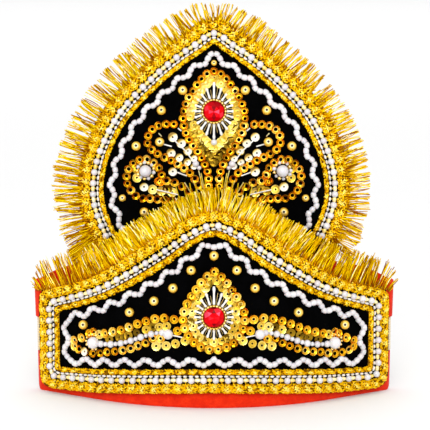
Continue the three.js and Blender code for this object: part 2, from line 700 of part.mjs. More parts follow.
addScroll('front_scroll', FRONT_SCROLL, onFront);
addScroll('crest_scroll_upper', CREST_SCROLL_UPPER, onCrest);
addScroll('crest_scroll_lower', CREST_SCROLL_LOWER, onCrest);

// Red stone with a flat table, and its bezel with bugle beads that stand round it as rays
function addStone(name, place, surface) {
  const { radius, table, seat, girdleLow, girdleHigh, depth } = STONE;
  const profile = [
    flat(0, seat), flat(table, seat), flat(radius, seat + girdleLow),
    flat(radius, seat + girdleHigh), flat(table, seat + depth), flat(0, seat + depth),
  ];
  const stone = new THREE.LatheGeometry(profile, STONE.facets);
  stone.rotateX(Math.PI / 2);
  stone.translate(place.along, place.height, 0);
  addPiece(`${name}_stone`, wrap(stone, surface), MATERIALS.stone);

  const ring = new THREE.LatheGeometry([
    flat(BEZEL.inner, GAP), flat(BEZEL.outer, GAP), flat(BEZEL.outer, GAP + BEZEL.height),
    flat(BEZEL.inner, GAP + BEZEL.height), flat(BEZEL.inner, GAP),
  ], BEZEL.sides);
  ring.rotateX(Math.PI / 2);
  let setting = solid(outward(welded(ring)));
  for (let i = 0; i < RAYS.count; i++) {
    const angle = (2 * Math.PI * i) / RAYS.count;
    const upward = Math.sin(angle);
    const end = THREE.MathUtils.lerp(RAYS.side, upward > 0 ? RAYS.top : RAYS.bottom, upward * upward);
    const ray = new THREE.BoxGeometry(end - RAYS.from, RAYS.width, RAYS.height);
    ray.translate((end + RAYS.from) / 2, 0, GAP + RAYS.height / 2);
    ray.rotateZ(angle);
    setting = setting.add(solid(ray));
  }
  const placed = fromSolid(setting);
  placed.translate(place.along, place.height, 0);
  addPiece(`${name}_setting`, wrap(placed, surface), MATERIALS.gold);
}

addStone('front', FRONT_STONE, onFront);
addStone('crest', CREST_STONE, onCrest);

// Round beads and large pearls, numbered from the middle outwards, right before left
function addBeads(name, rows, rings, surface, material) {
  let number = 1;
  for (const { along, height, radius } of rows) {
    for (const place of along === 0 ? [0] : [along, -along]) {
      const bead = new THREE.SphereGeometry(radius, BEAD_SIDES, rings);
      bead.rotateX(Math.PI / 2);
      bead.translate(place, height, GAP + radius);
      addPiece(`${name}_${number}`, wrap(bead, surface), material);
      number += 1;
    }
  }
}

addBeads('front_gold_bead', FRONT_BEADS, BEAD_RINGS, onFront, MATERIALS.gold);
addBeads('crest_gold_bead', CREST_BEADS, BEAD_RINGS, onCrest, MATERIALS.gold);
addBeads('front_pearl', FRONT_PEARLS, PEARL_RINGS, onFront, MATERIALS.pearl);
addBeads('crest_pearl', CREST_PEARLS, PEARL_RINGS, onCrest, MATERIALS.pearl);

// The origin is the middle of the crown's outline on the floor
const footprint = new THREE.Box3().setFromObject(crown).getCenter(new THREE.Vector3());
crown.position.set(-footprint.x, -footprint.y, 0);

export default crown;
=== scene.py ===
"""Looks of the costume crown: felt, velvet, gold braid, tinsel, pearls, sequins and red stones.

Sizes are in millimetres and become metres when a place is worked out. Each panel is laid out flat,
(along, height), and a face bends that layout on to the crown; lift is the distance in front of the velvet.
"""
import math

import bmesh
import bpy
import numpy as np
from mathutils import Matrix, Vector


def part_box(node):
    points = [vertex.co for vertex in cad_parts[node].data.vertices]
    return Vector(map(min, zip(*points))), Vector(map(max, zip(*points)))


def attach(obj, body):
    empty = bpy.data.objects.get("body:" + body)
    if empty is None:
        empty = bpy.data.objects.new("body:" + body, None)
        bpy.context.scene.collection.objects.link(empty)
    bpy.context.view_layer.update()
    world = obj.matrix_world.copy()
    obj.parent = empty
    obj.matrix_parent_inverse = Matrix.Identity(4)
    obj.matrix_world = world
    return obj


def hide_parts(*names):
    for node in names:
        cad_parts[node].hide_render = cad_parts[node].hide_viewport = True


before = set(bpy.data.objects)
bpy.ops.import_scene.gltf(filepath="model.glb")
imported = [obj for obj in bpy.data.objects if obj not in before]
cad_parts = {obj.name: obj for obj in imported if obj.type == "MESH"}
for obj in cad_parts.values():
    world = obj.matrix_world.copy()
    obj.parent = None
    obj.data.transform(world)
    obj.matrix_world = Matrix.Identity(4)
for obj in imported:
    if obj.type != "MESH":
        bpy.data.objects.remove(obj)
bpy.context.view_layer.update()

MM = 0.001
UP = np.array([0.0, 0.0, 1.0])

# Plan of the crown, as in the part
FRONT_RADIUS = 109.0
WING_ANGLE = math.radians(33)
WING_END = 99.0
TURN_RADIUS = 8.0
TURN_SWEEP = math.pi / 2 - WING_ANGLE
FELT_TAIL = 1.5
CREST_FACE = 22.0
FACE_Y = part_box("front_panel")[0].y / MM    # the middle of the front velvet
PANEL_THICK = 1.8
FELT_THICK = 1.4
CREST_THICK = 2.5
ELASTIC_THICK = 1.0
GAP = 0.3                # between pieces that are sewn or glued together

# Half of the front panel from the middle to the end, in eighths
EDGE_COLUMNS = ("foot", "crown", "window_foot", "window_crown", "felt")
FRONT_EDGES = np.array([
    (8.2, 99.8, 20.5, 86.8, 100.6),
    (7.8, 96.2, 20.4, 82.0, 97.0),
    (7.3, 88.9, 20.1, 73.4, 90.4),
    (6.4, 80.8, 19.4, 66.2, 82.8),
    (5.4, 72.6, 18.6, 60.1, 75.4),
    (4.2, 65.3, 17.6, 54.5, 69.8),
    (3.3, 60.0, 16.6, 50.3, 66.4),
    (2.8, 56.4, 15.7, 46.6, 63.4),
    (2.8, 52.6, 15.0, 43.4, 58.8),
])
BRAID_HALF = 98.2        # half the border's length from end to end
PANEL_HALF = 98.4        # half the velvet's length
WINDOW_HALF = 84.4       # half the bare velvet's length inside the border
YARN_INSET = 1.0         # how far the border's yarn stays inside its ends
FOOT_CORNER = 7          # radii of the border's and the window's corners
CROWN_CORNER = 4
WINDOW_CORNER = 0.9

# Half of the crest's pearl row from its lower end to the point: (half width, height)
CREST_ROW = np.array([
    (52.6, 81.0), (56.4, 89.6), (59.2, 98.4), (60.0, 106.5), (59.3, 114.8), (57.2, 123.4), (53.0, 133.6),
    (47.6, 143.2), (40.6, 152.0), (33.4, 159.2), (25.6, 166.4), (17.4, 173.0), (8.8, 178.8), (0.0, 184.2),
])
CREST_BORDER = 6.8       # from the pearl row out to the edge of the braid


# Finishes

def colour(code):
    """Linear RGBA from an sRGB hex code."""
    parts = [int(code[i:i + 2], 16) / 255 for i in (1, 3, 5)]
    return [c / 12.92 if c <= 0.04045 else ((c + 0.055) / 1.055) ** 2.4 for c in parts] + [1.0]


def add(tree, kind, inputs=None, stops=None, **settings):
    """Adds a node. inputs holds values, colours or the sockets that feed it; stops are a ramp's colours."""
    node = tree.nodes.new(kind)
    for name, value in settings.items():
        setattr(node, name, value)
    for key, value in (inputs or {}).items():
        if isinstance(value, bpy.types.NodeSocket):
            tree.links.new(value, node.inputs[key])
        else:
            node.inputs[key].default_value = colour(value) if str(value).startswith("#") else value
    if stops:
        ramp = node.color_ramp.elements
        while len(ramp) < len(stops):
            ramp.new(1.0)
        for element, (place, code) in zip(ramp, stops):
            element.position = place
            element.color = colour(code)
    return node


def finish(name, **values):
    """A new material: its tree and its surface shader, with the values that are the same all over."""
    material = bpy.data.materials.new(name)
    material.use_nodes = True
    tree = material.node_tree
    tree.nodes.clear()
    inputs = {key.replace("_", " ").title().replace("Ior", "IOR"): value for key, value in values.items()}
    surface = add(tree, "ShaderNodeBsdfPrincipled", inputs)
    add(tree, "ShaderNodeOutputMaterial", {"Surface": surface.outputs[0]})
    return material, tree, surface


def grain(tree, surface, size, height, detail=4.0):
    """Fine relief of that grain size and height in millimetres."""
    where = add(tree, "ShaderNodeTexCoord")
    noise = add(tree, "ShaderNodeTexNoise",
                {"Vector": where.outputs["Object"], "Scale": 1 / (size * MM), "Detail": detail})
    bump = add(tree, "ShaderNodeBump", {"Height": noise.outputs["Fac"], "Distance": height * MM})
    tree.links.new(bump.outputs["Normal"], surface.inputs["Normal"])
    return noise


def mottled(name, relief, cloud, stops, **values):
    """A matt cloth with fine relief, in a colour that drifts. relief is its grain size and height; cloud is
    the size of the drift in millimetres, its detail and its roughness."""
    material, tree, surface = finish(name, **values)
    grain(tree, surface, *relief)
    size, detail, roughness = cloud
    where = add(tree, "ShaderNodeTexCoord")
    drift = add(tree, "ShaderNodeTexNoise", {"Vector": where.outputs["Object"], "Scale": 1 / (size * MM),
                                             "Detail": detail, "Roughness": roughness})
    tint = add(tree, "ShaderNodeValToRGB", {"Fac": drift.outputs["Fac"]}, stops=stops)
    tree.links.new(tint.outputs["Color"], surface.inputs["Base Color"])
    return material


def cream_elastic():
    """Woven elastic: lengthwise ribs over rubber cores, crossed by a fine weft."""
    material, tree, surface = finish("cream_elastic", roughness=0.85, sheen_weight=0.2)
    rib_pitch = 1.3
    weft_pitch = 0.8
    where = add(tree, "ShaderNodeUVMap", uv_map="run_and_height")
    ribs = add(tree, "ShaderNodeTexWave",
               {"Vector": where.outputs["UV"], "Scale": math.tau / 20 / rib_pitch, "Distortion": 0.3},
               bands_direction="Y")
    weft = add(tree, "ShaderNodeTexWave",
               {"Vector": where.outputs["UV"], "Scale": math.tau / 20 / weft_pitch, "Distortion": 1.0},
               bands_direction="X")
    weave = add(tree, "ShaderNodeMath", {0: ribs.outputs["Fac"], 1: weft.outputs["Fac"]},
                operation="MULTIPLY")
    tint = add(tree, "ShaderNodeValToRGB", {"Fac": weave.outputs["Value"]},
               stops=((0.0, "#D9BE8C"), (0.6, "#F2E0BC")))
    tree.links.new(tint.outputs["Color"], surface.inputs["Base Color"])
    bump = add(tree, "ShaderNodeBump", {"Height": weave.outputs["Value"], "Distance": 0.25 * MM})
    tree.links.new(bump.outputs["Normal"], surface.inputs["Normal"])
    return material


def toned(name, stops, banded=None, **values):
    """A finish whose colour changes from one copy or thread to the next. Where a shape's own rings lead,
    banded is the share that the change from copy to copy keeps."""
    material, tree, surface = finish(name, **values)
    level = add(tree, "ShaderNodeAttribute", attribute_name="tone").outputs["Fac"]
    if banded is not None:
        # The band holds painted light set on a shape's rings: highlights, shade and reflections
        band = add(tree, "ShaderNodeAttribute", attribute_name="band").outputs["Fac"]
        mixed = add(tree, "ShaderNodeMath", {0: level, 1: banded, 2: band}, operation="MULTIPLY_ADD")
        level = mixed.outputs[0]
    tint = add(tree, "ShaderNodeValToRGB", {"Fac": level}, stops=stops)
    tree.links.new(tint.outputs["Color"], surface.inputs["Base Color"])
    return material


def gold_tinsel():
    """Metallised film cut to strands: painted bright flashes, and painted brown shade where roots shade each
    other.
    """
    material, tree, surface = finish("gold_tinsel", metallic=0.6, roughness=0.36, specular_ior_level=0.0)
    # The shade attribute carries painted flashes and painted shade along each strand, besides random tone
    shade = add(tree, "ShaderNodeAttribute", attribute_name="shade")
    strand = add(tree, "ShaderNodeValToRGB", {"Fac": shade.outputs["Fac"]},
                 stops=((0.0, "#945200"), (0.3, "#D8A200"), (0.6, "#F8D000"), (0.82, "#FFE424"),
                        (1.0, "#FFF8C0")))
    # Painted shade: a ramp by reach darkens each strand to brown towards its root
    reach = add(tree, "ShaderNodeAttribute", attribute_name="reach")
    root = add(tree, "ShaderNodeValToRGB", {"Fac": reach.outputs["Fac"]},
               stops=((0.02, "#E2B468"), (0.2, "#FFFFFF")))
    shaded = add(tree, "ShaderNodeMix", {0: 1.0, 6: strand.outputs["Color"], 7: root.outputs["Color"]},
                 data_type="RGBA", blend_type="MULTIPLY")
    tree.links.new(shaded.outputs[2], surface.inputs["Base Color"])
    return material


def gold_gimp():
    """Film-wrapped yarn in tight twists, with painted glitter on its lumps and painted brown shade between
    them.
    """
    material, tree, surface = finish("gold_gimp", metallic=0.6, roughness=0.34, specular_ior_level=0.0)
    knobs_and_glitter = grain(tree, surface, 1.15, 0.4, detail=2.0)
    tone = add(tree, "ShaderNodeAttribute", attribute_name="tone")
    shade = add(tree, "ShaderNodeAttribute", attribute_name="shade")
    yarn = add(tree, "ShaderNodeMath", {0: tone.outputs["Fac"], 1: 0.3, 2: shade.outputs["Fac"]},
               operation="MULTIPLY_ADD")
    # Painted glitter and shade: the relief noise also lightens and darkens the colour
    level = add(tree, "ShaderNodeMath", {0: knobs_and_glitter.outputs["Fac"], 1: 0.9, 2: yarn.outputs[0]},
                operation="MULTIPLY_ADD")
    spread = add(tree, "ShaderNodeMath", {0: level.outputs[0], 1: 0.52}, operation="SUBTRACT")
    tint = add(tree, "ShaderNodeValToRGB", {"Fac": spread.outputs[0]},
               stops=((0.04, "#7A4A00"), (0.2, "#E6A600"), (0.5, "#FFD410"), (0.9, "#FFF080")))
    tree.links.new(tint.outputs["Color"], surface.inputs["Base Color"])
    return material


def braid_ground():
    """The woven ground under the gold yarn, seen only in the gaps, in a dark brown that is partly painted
    shade.
    """
    material, tree, surface = finish("braid_ground", roughness=0.8, metallic=0.4)
    noise = grain(tree, surface, 0.6, 0.2)
    tint = add(tree, "ShaderNodeValToRGB", {"Fac": noise.outputs["Fac"]},
               stops=((0.3, "#8A5A06"), (0.7, "#C8960E")))
    tree.links.new(tint.outputs["Color"], surface.inputs["Base Color"])
    return material


# Pressed wool felt: matt, with short fibres that catch a little light and a faintly mottled red
RED_FELT = mottled("red_felt", (0.7, 0.25), (4, 6.0, 0.7),
                   ((0.3, "#C81E02"), (0.5, "#D62704"), (0.7, "#E0330D")),
                   roughness=0.95, sheen_weight=0.1, sheen_roughness=0.5, specular_ior_level=0.1)
# Cotton velvet: a deep black pile, a little paler where the pile leans to the light
BLACK_VELVET = mottled("black_velvet", (0.5, 0.2), (6, 8.0, 0.75), ((0.35, "#010101"), (0.7, "#040405")),
                       roughness=1.0, specular_ior_level=0.02, sheen_weight=0.004, sheen_roughness=0.35)
CREAM_ELASTIC = cream_elastic()
TINSEL = gold_tinsel()
GIMP = gold_gimp()
GROUND = braid_ground()
# Pressed gold film cups: warm orange-gold, with painted highlights in rings on the rim and round the hole
CUP_GOLD = toned("cup_sequin_gold", ((0.0, "#9A5400"), (0.4, "#E6A00C"), (0.7, "#FFC832"), (1.0, "#FFEA90")),
                 banded=0.45, metallic=1.0, roughness=0.2)
# Flat discs of pale gold film, with painted highlight rings at the hole and the rim; the palest copies are
# painted almost white, as if they faced the light
PALE_GOLD = toned("flat_sequin_pale_gold", ((0.0, "#A87C0C"), (0.5, "#E2BA38"), (1.0, "#FFEC90")),
                  banded=0.45, metallic=0.6, roughness=0.24, specular_ior_level=0.2)
# Pearl-white film discs, glossy and faintly warm, with a painted gold reflection that fills one side
WHITE_SEQUIN = toned("flat_sequin_white",
                     ((0.0, "#EFEADC"), (0.62, "#F0E6C4"), (0.86, "#D8B44C"), (1.0, "#8E6C14")),
                     banded=0.35, metallic=0.1, roughness=0.25, coat_weight=0.3, coat_roughness=0.1)
# Flat gold discs in painted shade: a dark olive gold that stands for discs turned from the light
SHADED_OLIVE_GOLD = toned("flat_sequin_shaded_olive", ((0.0, "#5A420C"), (1.0, "#B08A20")), metallic=1.0, roughness=0.25)
# Moulded beads in pearl lacquer: white with a soft glow and a faint lavender turn at the edge
PEARL = toned("pearl_lacquer", ((0.0, "#C4C0C2"), (1.0, "#D3D0D1")), roughness=0.32, coat_weight=0.3,
              coat_roughness=0.12, subsurface_weight=0.12, subsurface_scale=0.6 * MM, sheen_weight=0.15,
              sheen_tint="#D8C8EC")
# Gold beads under clear lacquer: painted amber shade at the edge, a pale yellow body and a painted white
# highlight round the hole
LACQUERED_GOLD = toned("lacquered_gold",
                       ((0.0, "#8C5200"), (0.25, "#D8920E"), (0.5, "#EEC040"), (0.72, "#FADE78"),
                        (0.9, "#FFFCEA")),
                       banded=0.06, metallic=0.4, roughness=0.25, coat_weight=0.35, coat_roughness=0.05)
# Gold-plated plastic seed beads and wires: a clean mirror with a soft edge
BRIGHT_GOLD = toned("plated_gold", ((0.0, "#F4C248"), (1.0, "#FCD460")), metallic=0.7, roughness=0.12,
                    coat_weight=1.0, coat_ior=2.3, coat_roughness=0.06)
# Small gold-lined glass seeds, pale where the light comes through
SEED_GOLD = toned("seed_gold", ((0.0, "#F0C850"), (1.0, "#FFF4C0")), metallic=0.4, roughness=0.2)
# Silver-lined glass tubes, white with bright ends
BUGLE = toned("bugle_white", ((0.0, "#CFCBC4"), (1.0, "#EAE7E2")), roughness=0.2, coat_weight=0.4)
# Glazed white embroidery thread
WHITE_THREAD = toned("white_thread", ((0.0, "#CFCAC2"), (1.0, "#E6E3DE")), roughness=0.4, coat_weight=0.2)
# Foil-backed red acrylic with painted light: each facet is painted its own tone, from dark wine shade to
# bright red and pink glints, in place of reflections
RED_STONE = toned("red_acrylic", ((0.0, "#480004"), (0.4, "#A4000A"), (0.75, "#E2000C"), (1.0, "#DC5470")),
                  roughness=0.15, specular_ior_level=0.06)
# The drilled end of a bead with its dark thread, which also serves as a painted dark reflection in the
# bead's highlight
HOLE = finish("bead_hole", base_color="#2A1C06", roughness=0.7)[0]


# Faces that carry the work

class FrontFace:
    """The front velvet: an arc with straight wings."""

    @staticmethod
    def place(along, height, lift):
        angle = np.clip(along / FRONT_RADIUS, -WING_ANGLE, WING_ANGLE)
        wing = along - angle * FRONT_RADIUS
        x = FRONT_RADIUS * np.sin(angle) + wing * np.cos(angle) + lift * np.sin(angle)
        y = FRONT_RADIUS * (1 - np.cos(angle)) + wing * np.sin(angle) - lift * np.cos(angle)
        return np.stack([x, y + FACE_Y, height + 0 * x], -1) * MM

    @staticmethod
    def axes(along):
        angle = np.clip(along / FRONT_RADIUS, -WING_ANGLE, WING_ANGLE)
        none = np.zeros_like(angle)
        across = np.stack([np.cos(angle), np.sin(angle), none], -1)
        facing = np.stack([np.sin(angle), -np.cos(angle), none], -1)
        return across, facing


class CrestFace:
    """The crest's flat velvet."""

    @staticmethod
    def place(along, height, lift):
        along, height, lift = np.broadcast_arrays(along, height, lift)
        return np.stack([along, CREST_FACE - lift + FACE_Y, height], -1) * MM

    @staticmethod
    def axes(along):
        shape = (*np.shape(along), 3)
        return np.broadcast_to((1.0, 0.0, 0.0), shape), np.broadcast_to((0.0, -1.0, 0.0), shape)


def on_face(face, flat, lift):
    return face.place(flat[:, 0], flat[:, 1], lift)


def on_band(run, height, lift):
    """The felt's run: arc, wing, the end turned back and a short tail."""
    side = np.sign(run) + (run == 0)
    distance = np.abs(run)
    arc_end = FRONT_RADIUS * WING_ANGLE
    angle = np.minimum(distance / FRONT_RADIUS, WING_ANGLE)
    wing = np.clip(distance - arc_end, 0, WING_END - arc_end)
    turn = np.clip((distance - WING_END) / TURN_RADIUS, 0, TURN_SWEEP)
    tail = np.maximum(distance - WING_END - TURN_RADIUS * TURN_SWEEP, 0)
    heading = angle + turn
    x = FRONT_RADIUS * np.sin(angle) + wing * math.cos(WING_ANGLE)
    x = x + TURN_RADIUS * (np.sin(heading) - np.sin(angle)) + tail * np.cos(heading)
    y = FRONT_RADIUS * (1 - np.cos(angle)) + wing * math.sin(WING_ANGLE)
    y = y + TURN_RADIUS * (np.cos(angle) - np.cos(heading)) + tail * np.sin(heading)
    x = side * (x + lift * np.sin(heading))
    y = y - lift * np.cos(heading)
    return np.stack([x, y + FACE_Y, height + 0 * x], -1) * MM


# Flat paths

def mirrored(path):
    return np.asarray(path, float) * (-1, 1)


def lengths(path):
    steps = np.linalg.norm(np.diff(path, axis=0), axis=1)
    return np.concatenate([[0.0], np.cumsum(steps)])


def curve_through(points, closed=False, fine=12):
    """A smooth curve through the points, with the same count of points on every stretch."""
    points = np.asarray(points, float)
    if closed:
        ring = np.vstack([points[-1:], points, points[:2]])
    else:
        ring = np.vstack([2 * points[0] - points[1], points, 2 * points[-1] - points[-2]])
    stretches = []
    for a, b, c, d in zip(ring, ring[1:], ring[2:], ring[3:]):
        knots = np.cumsum([0.0, *(np.sqrt(np.linalg.norm(q - p)) for p, q in ((a, b), (b, c), (c, d)))])
        t = np.linspace(knots[1], knots[2], fine, endpoint=False)[:, None]

        def mix(p, q, low, high):
            return (high - t) / (high - low) * p + (t - low) / (high - low) * q

        first = mix(a, b, knots[0], knots[1])
        second = mix(b, c, knots[1], knots[2])
        third = mix(c, d, knots[2], knots[3])
        left = mix(first, second, knots[0], knots[2])
        right = mix(second, third, knots[1], knots[3])
        stretches.append(mix(left, right, knots[1], knots[2]))
    return np.vstack([*stretches, points[:1] if closed else points[-1:]])


def read_at(values, run, stops):
    """Rows of values that belong to places along a run, read at other places."""
    return np.stack([np.interp(stops, run, values[:, k]) for k in (0, 1)], -1)


def read_along(path, stops):
    return read_at(path, lengths(path), stops)


def spaced(points, step, closed=False):
    """Even places along a smooth curve; a closed curve leaves out the last, which is the first."""
    path = curve_through(points, closed)
    total = lengths(path)[-1]
    stops = np.linspace(0, total, max(round(total / step), 1) + 1)
    return read_along(path, stops[:-1] if closed else stops)


def headings(path, closed=False):
    if closed:
        step = np.roll(path, -1, axis=0) - np.roll(path, 1, axis=0)
    else:
        step = np.gradient(path, axis=0)
    return step / np.linalg.norm(step, axis=1, keepdims=True)


def leftward(path, closed=False):
    ahead = headings(path, closed)
    return np.stack([-ahead[:, 1], ahead[:, 0]], -1)


def offset(path, distance, closed=False):
    return path + distance * leftward(path, closed)


def front_edge(column, along, half=BRAID_HALF):
    """Height of one of the front panel's edges, smooth from row to row."""
    values = FRONT_EDGES[:, EDGE_COLUMNS.index(column)]
    shares = np.linspace(-1, 1, 2 * len(values) - 1) * half
    path = curve_through(np.stack([shares, np.concatenate([values[:0:-1], values])], -1))
    return np.interp(along, path[:, 0], path[:, 1])


def rounded(before, corner, after, radius):
    """Three points round a corner."""
    a = corner + (before - corner) * radius / np.linalg.norm(before - corner)
    b = corner + (after - corner) * radius / np.linalg.norm(after - corner)
    return [a, (a + b) / 4 + corner / 2, b]


def front_loop(half, foot, crown, foot_radius, crown_radius):
    """A loop round the front panel, anticlockwise from the bottom left."""
    last = len(FRONT_EDGES) - 1
    shares = np.arange(-last, last + 1)
    rows = {name: FRONT_EDGES[np.abs(shares), EDGE_COLUMNS.index(name)] for name in (foot, crown)}
    low = np.stack([half * shares / last, rows[foot]], -1)
    high = np.stack([half * shares / last, rows[crown]], -1)[::-1]
    right = [low[-1] + (high[0] - low[-1]) * third / 3 for third in (1, 2)]
    left = [high[-1] + (low[0] - high[-1]) * third / 3 for third in (1, 2)]
    return np.array([
        *low[1:-1], *rounded(low[-2], low[-1], right[0], foot_radius), *right,
        *rounded(right[1], high[0], high[1], crown_radius), *high[1:-1],
        *rounded(high[-2], high[-1], left[0], crown_radius), *left,
        *rounded(left[1], low[0], low[1], foot_radius),
    ])


OUTER_LOOP = front_loop(BRAID_HALF - YARN_INSET, "foot", "crown", FOOT_CORNER, CROWN_CORNER)
WINDOW_LOOP = front_loop(WINDOW_HALF, "window_foot", "window_crown", WINDOW_CORNER, WINDOW_CORNER)
CREST_LINE = np.vstack([mirrored(CREST_ROW)[:-1], CREST_ROW[::-1]])


def front_rail(share):
    """A line round the front border, from its outer edge (0) to the bare velvet (1)."""
    return OUTER_LOOP + (WINDOW_LOOP - OUTER_LOOP) * share


def crest_rail(distance):
    """A line along the crest's border, that far outside the pearl row."""
    path = curve_through(CREST_LINE, fine=4)
    return offset(path, distance)


# Copies and swept threads, made by Geometry Nodes

def new_tree(name, sockets):
    tree = bpy.data.node_groups.new(name, "GeometryNodeTree")
    tree.interface.new_socket("Geometry", in_out="INPUT", socket_type="NodeSocketGeometry")
    for label, kind in sockets.items():
        tree.interface.new_socket(label, in_out="INPUT", socket_type=kind)
    tree.interface.new_socket("Geometry", in_out="OUTPUT", socket_type="NodeSocketGeometry")
    return tree, add(tree, "NodeGroupInput").outputs


def copies_tree():
    """Copies of a shape on places that know their facing, their length's direction and their size."""
    tree, given = new_tree("copies_on_places", {
        "Shape": "NodeSocketObject", "Size jitter": "NodeSocketFloat", "Tilt": "NodeSocketVector",
        "Seed": "NodeSocketInt", "Finish": "NodeSocketMaterial",
    })
    facing = add(tree, "GeometryNodeInputNamedAttribute", {"Name": "facing"}, data_type="FLOAT_VECTOR")
    along = add(tree, "GeometryNodeInputNamedAttribute", {"Name": "along"}, data_type="FLOAT_VECTOR")
    size = add(tree, "GeometryNodeInputNamedAttribute", {"Name": "size"}, data_type="FLOAT")
    stand = add(tree, "FunctionNodeAxesToRotation", {0: facing.outputs[0], 1: along.outputs[0]},
                primary_axis="Z", secondary_axis="X")
    back = add(tree, "ShaderNodeVectorMath", {0: given["Tilt"], "Scale": -1.0}, operation="SCALE")
    tilt = add(tree, "FunctionNodeRandomValue",
               {0: back.outputs[0], 1: given["Tilt"], "Seed": given["Seed"]}, data_type="FLOAT_VECTOR")
    lean = add(tree, "FunctionNodeEulerToRotation", {0: tilt.outputs[0]})
    turned = add(tree, "FunctionNodeRotateRotation", {0: stand.outputs[0], 1: lean.outputs[0]},
                 rotation_space="LOCAL")
    least = add(tree, "ShaderNodeMath", {0: 1.0, 1: given["Size jitter"]}, operation="SUBTRACT")
    most = add(tree, "ShaderNodeMath", {0: 1.0, 1: given["Size jitter"]}, operation="ADD")
    vary = add(tree, "FunctionNodeRandomValue",
               {2: least.outputs[0], 3: most.outputs[0], "Seed": given["Seed"]}, data_type="FLOAT")
    scale = add(tree, "ShaderNodeMath", {0: size.outputs[0], 1: vary.outputs[1]}, operation="MULTIPLY")
    shape = add(tree, "GeometryNodeObjectInfo", {"Object": given["Shape"]}, transform_space="ORIGINAL")
    copies = add(tree, "GeometryNodeInstanceOnPoints",
                 {"Points": given["Geometry"], "Instance": shape.outputs["Geometry"],
                  "Rotation": turned.outputs[0], "Scale": scale.outputs[0]})
    chance = add(tree, "FunctionNodeRandomValue", {2: 0.0, 3: 1.0, "Seed": given["Seed"]}, data_type="FLOAT")
    tone = add(tree, "GeometryNodeStoreNamedAttribute",
               {"Geometry": copies.outputs[0], "Name": "tone", "Value": chance.outputs[1]},
               data_type="FLOAT", domain="INSTANCE")
    real = add(tree, "GeometryNodeRealizeInstances", {"Geometry": tone.outputs[0]})
    clad = add(tree, "GeometryNodeSetMaterial", {"Geometry": real.outputs[0], "Material": given["Finish"]})
    add(tree, "NodeGroupOutput", {0: clad.outputs[0]})
    return tree


def threads_tree():
    """Round threads swept along lines of points; girth thins or thickens a line on its way."""
    tree, given = new_tree("swept_threads", {
        "Thickness": "NodeSocketFloat", "Sides": "NodeSocketInt", "Seed": "NodeSocketInt",
        "Finish": "NodeSocketMaterial",
    })
    girth = add(tree, "GeometryNodeInputNamedAttribute", {"Name": "girth"}, data_type="FLOAT")
    lines = add(tree, "GeometryNodeMeshToCurve", {"Mesh": given["Geometry"]})
    chance = add(tree, "FunctionNodeRandomValue", {2: 0.0, 3: 1.0, "Seed": given["Seed"]}, data_type="FLOAT")
    tone = add(tree, "GeometryNodeStoreNamedAttribute",
               {"Geometry": lines.outputs[0], "Name": "tone", "Value": chance.outputs[1]},
               data_type="FLOAT", domain="CURVE")
    half = add(tree, "ShaderNodeMath", {0: given["Thickness"], 1: 0.5}, operation="MULTIPLY")
    ring = add(tree, "GeometryNodeCurvePrimitiveCircle",
               {"Resolution": given["Sides"], "Radius": half.outputs[0]})
    swept = add(tree, "GeometryNodeCurveToMesh",
                {"Curve": tone.outputs[0], "Profile Curve": ring.outputs["Curve"], "Scale": girth.outputs[0],
                 "Fill Caps": True})
    real = add(tree, "GeometryNodeRealizeInstances", {"Geometry": swept.outputs[0]})
    soft = add(tree, "GeometryNodeSetShadeSmooth", {"Geometry": real.outputs[0]})
    clad = add(tree, "GeometryNodeSetMaterial", {"Geometry": soft.outputs[0], "Material": given["Finish"]})
    add(tree, "NodeGroupOutput", {0: clad.outputs[0]})
    return tree


COPIES = copies_tree()
THREADS = threads_tree()


def linked(name, mesh, material=None):
    """An object in the scene from a mesh, or from a worked mesh that is then done with."""
    if isinstance(mesh, bmesh.types.BMesh):
        work = mesh
        mesh = bpy.data.meshes.new(name)
        work.to_mesh(mesh)
        work.free()
    if material:
        mesh.materials.append(material)
    piece = bpy.data.objects.new(name, mesh)
    bpy.context.scene.collection.objects.link(piece)
    return piece


def settle(piece, replaced, slot):
    """Puts a finished piece on the crown."""
    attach(piece, "root")
    if replaced:
        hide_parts(*replaced)
    return piece


def made_by(tree, name, mesh, values, replaced, slot):
    """Runs a tree on a mesh and keeps the result as a plain mesh."""
    piece = linked(name, mesh)
    modifier = piece.modifiers.new("made", "NODES")
    modifier.node_group = tree
    for socket in tree.interface.items_tree:
        if socket.name in values:
            modifier[socket.identifier] = values[socket.name]
    graph = bpy.context.evaluated_depsgraph_get()
    result = bpy.data.meshes.new_from_object(piece.evaluated_get(graph), preserve_all_data_layers=True,
                                             depsgraph=graph)
    piece.modifiers.remove(modifier)
    piece.data = result
    result.name = name
    result.materials.clear()
    result.materials.append(values["Finish"])
    result.polygons.foreach_set("material_index", np.zeros(len(result.polygons), np.int32))
    return settle(piece, replaced, slot)


def store(mesh, name, values):
    """Keeps a number or a direction for each point of a mesh."""
    kind, field = ("FLOAT_VECTOR", "vector") if np.ndim(values) == 2 else ("FLOAT", "value")
    layer = mesh.attributes.new(name, kind, "POINT")
    layer.data.foreach_set(field, np.ascontiguousarray(values, np.float32).ravel())


def seated(face, points, lift, size=1.0, heading=(1.0, 0.0), lean=0.0):
    """Places for copies on a face; lean tips each one towards its heading."""
    points = np.atleast_2d(np.asarray(points, float))
    across, facing = face.axes(points[:, 0])
    ahead = np.broadcast_to(heading, points.shape)
    along = ahead[:, :1] * across + ahead[:, 1:] * UP
    return {
        "place": on_face(face, points, np.broadcast_to(lift, len(points))),
        "facing": facing + lean * along,
        "along": along,
        "size": np.broadcast_to(float(size) if np.isscalar(size) else size, len(points)),
    }


def laid(seat):
    """The same places with each shape's axis laid along the heading."""
    return {**seat, "facing": seat["along"], "along": seat["facing"]}


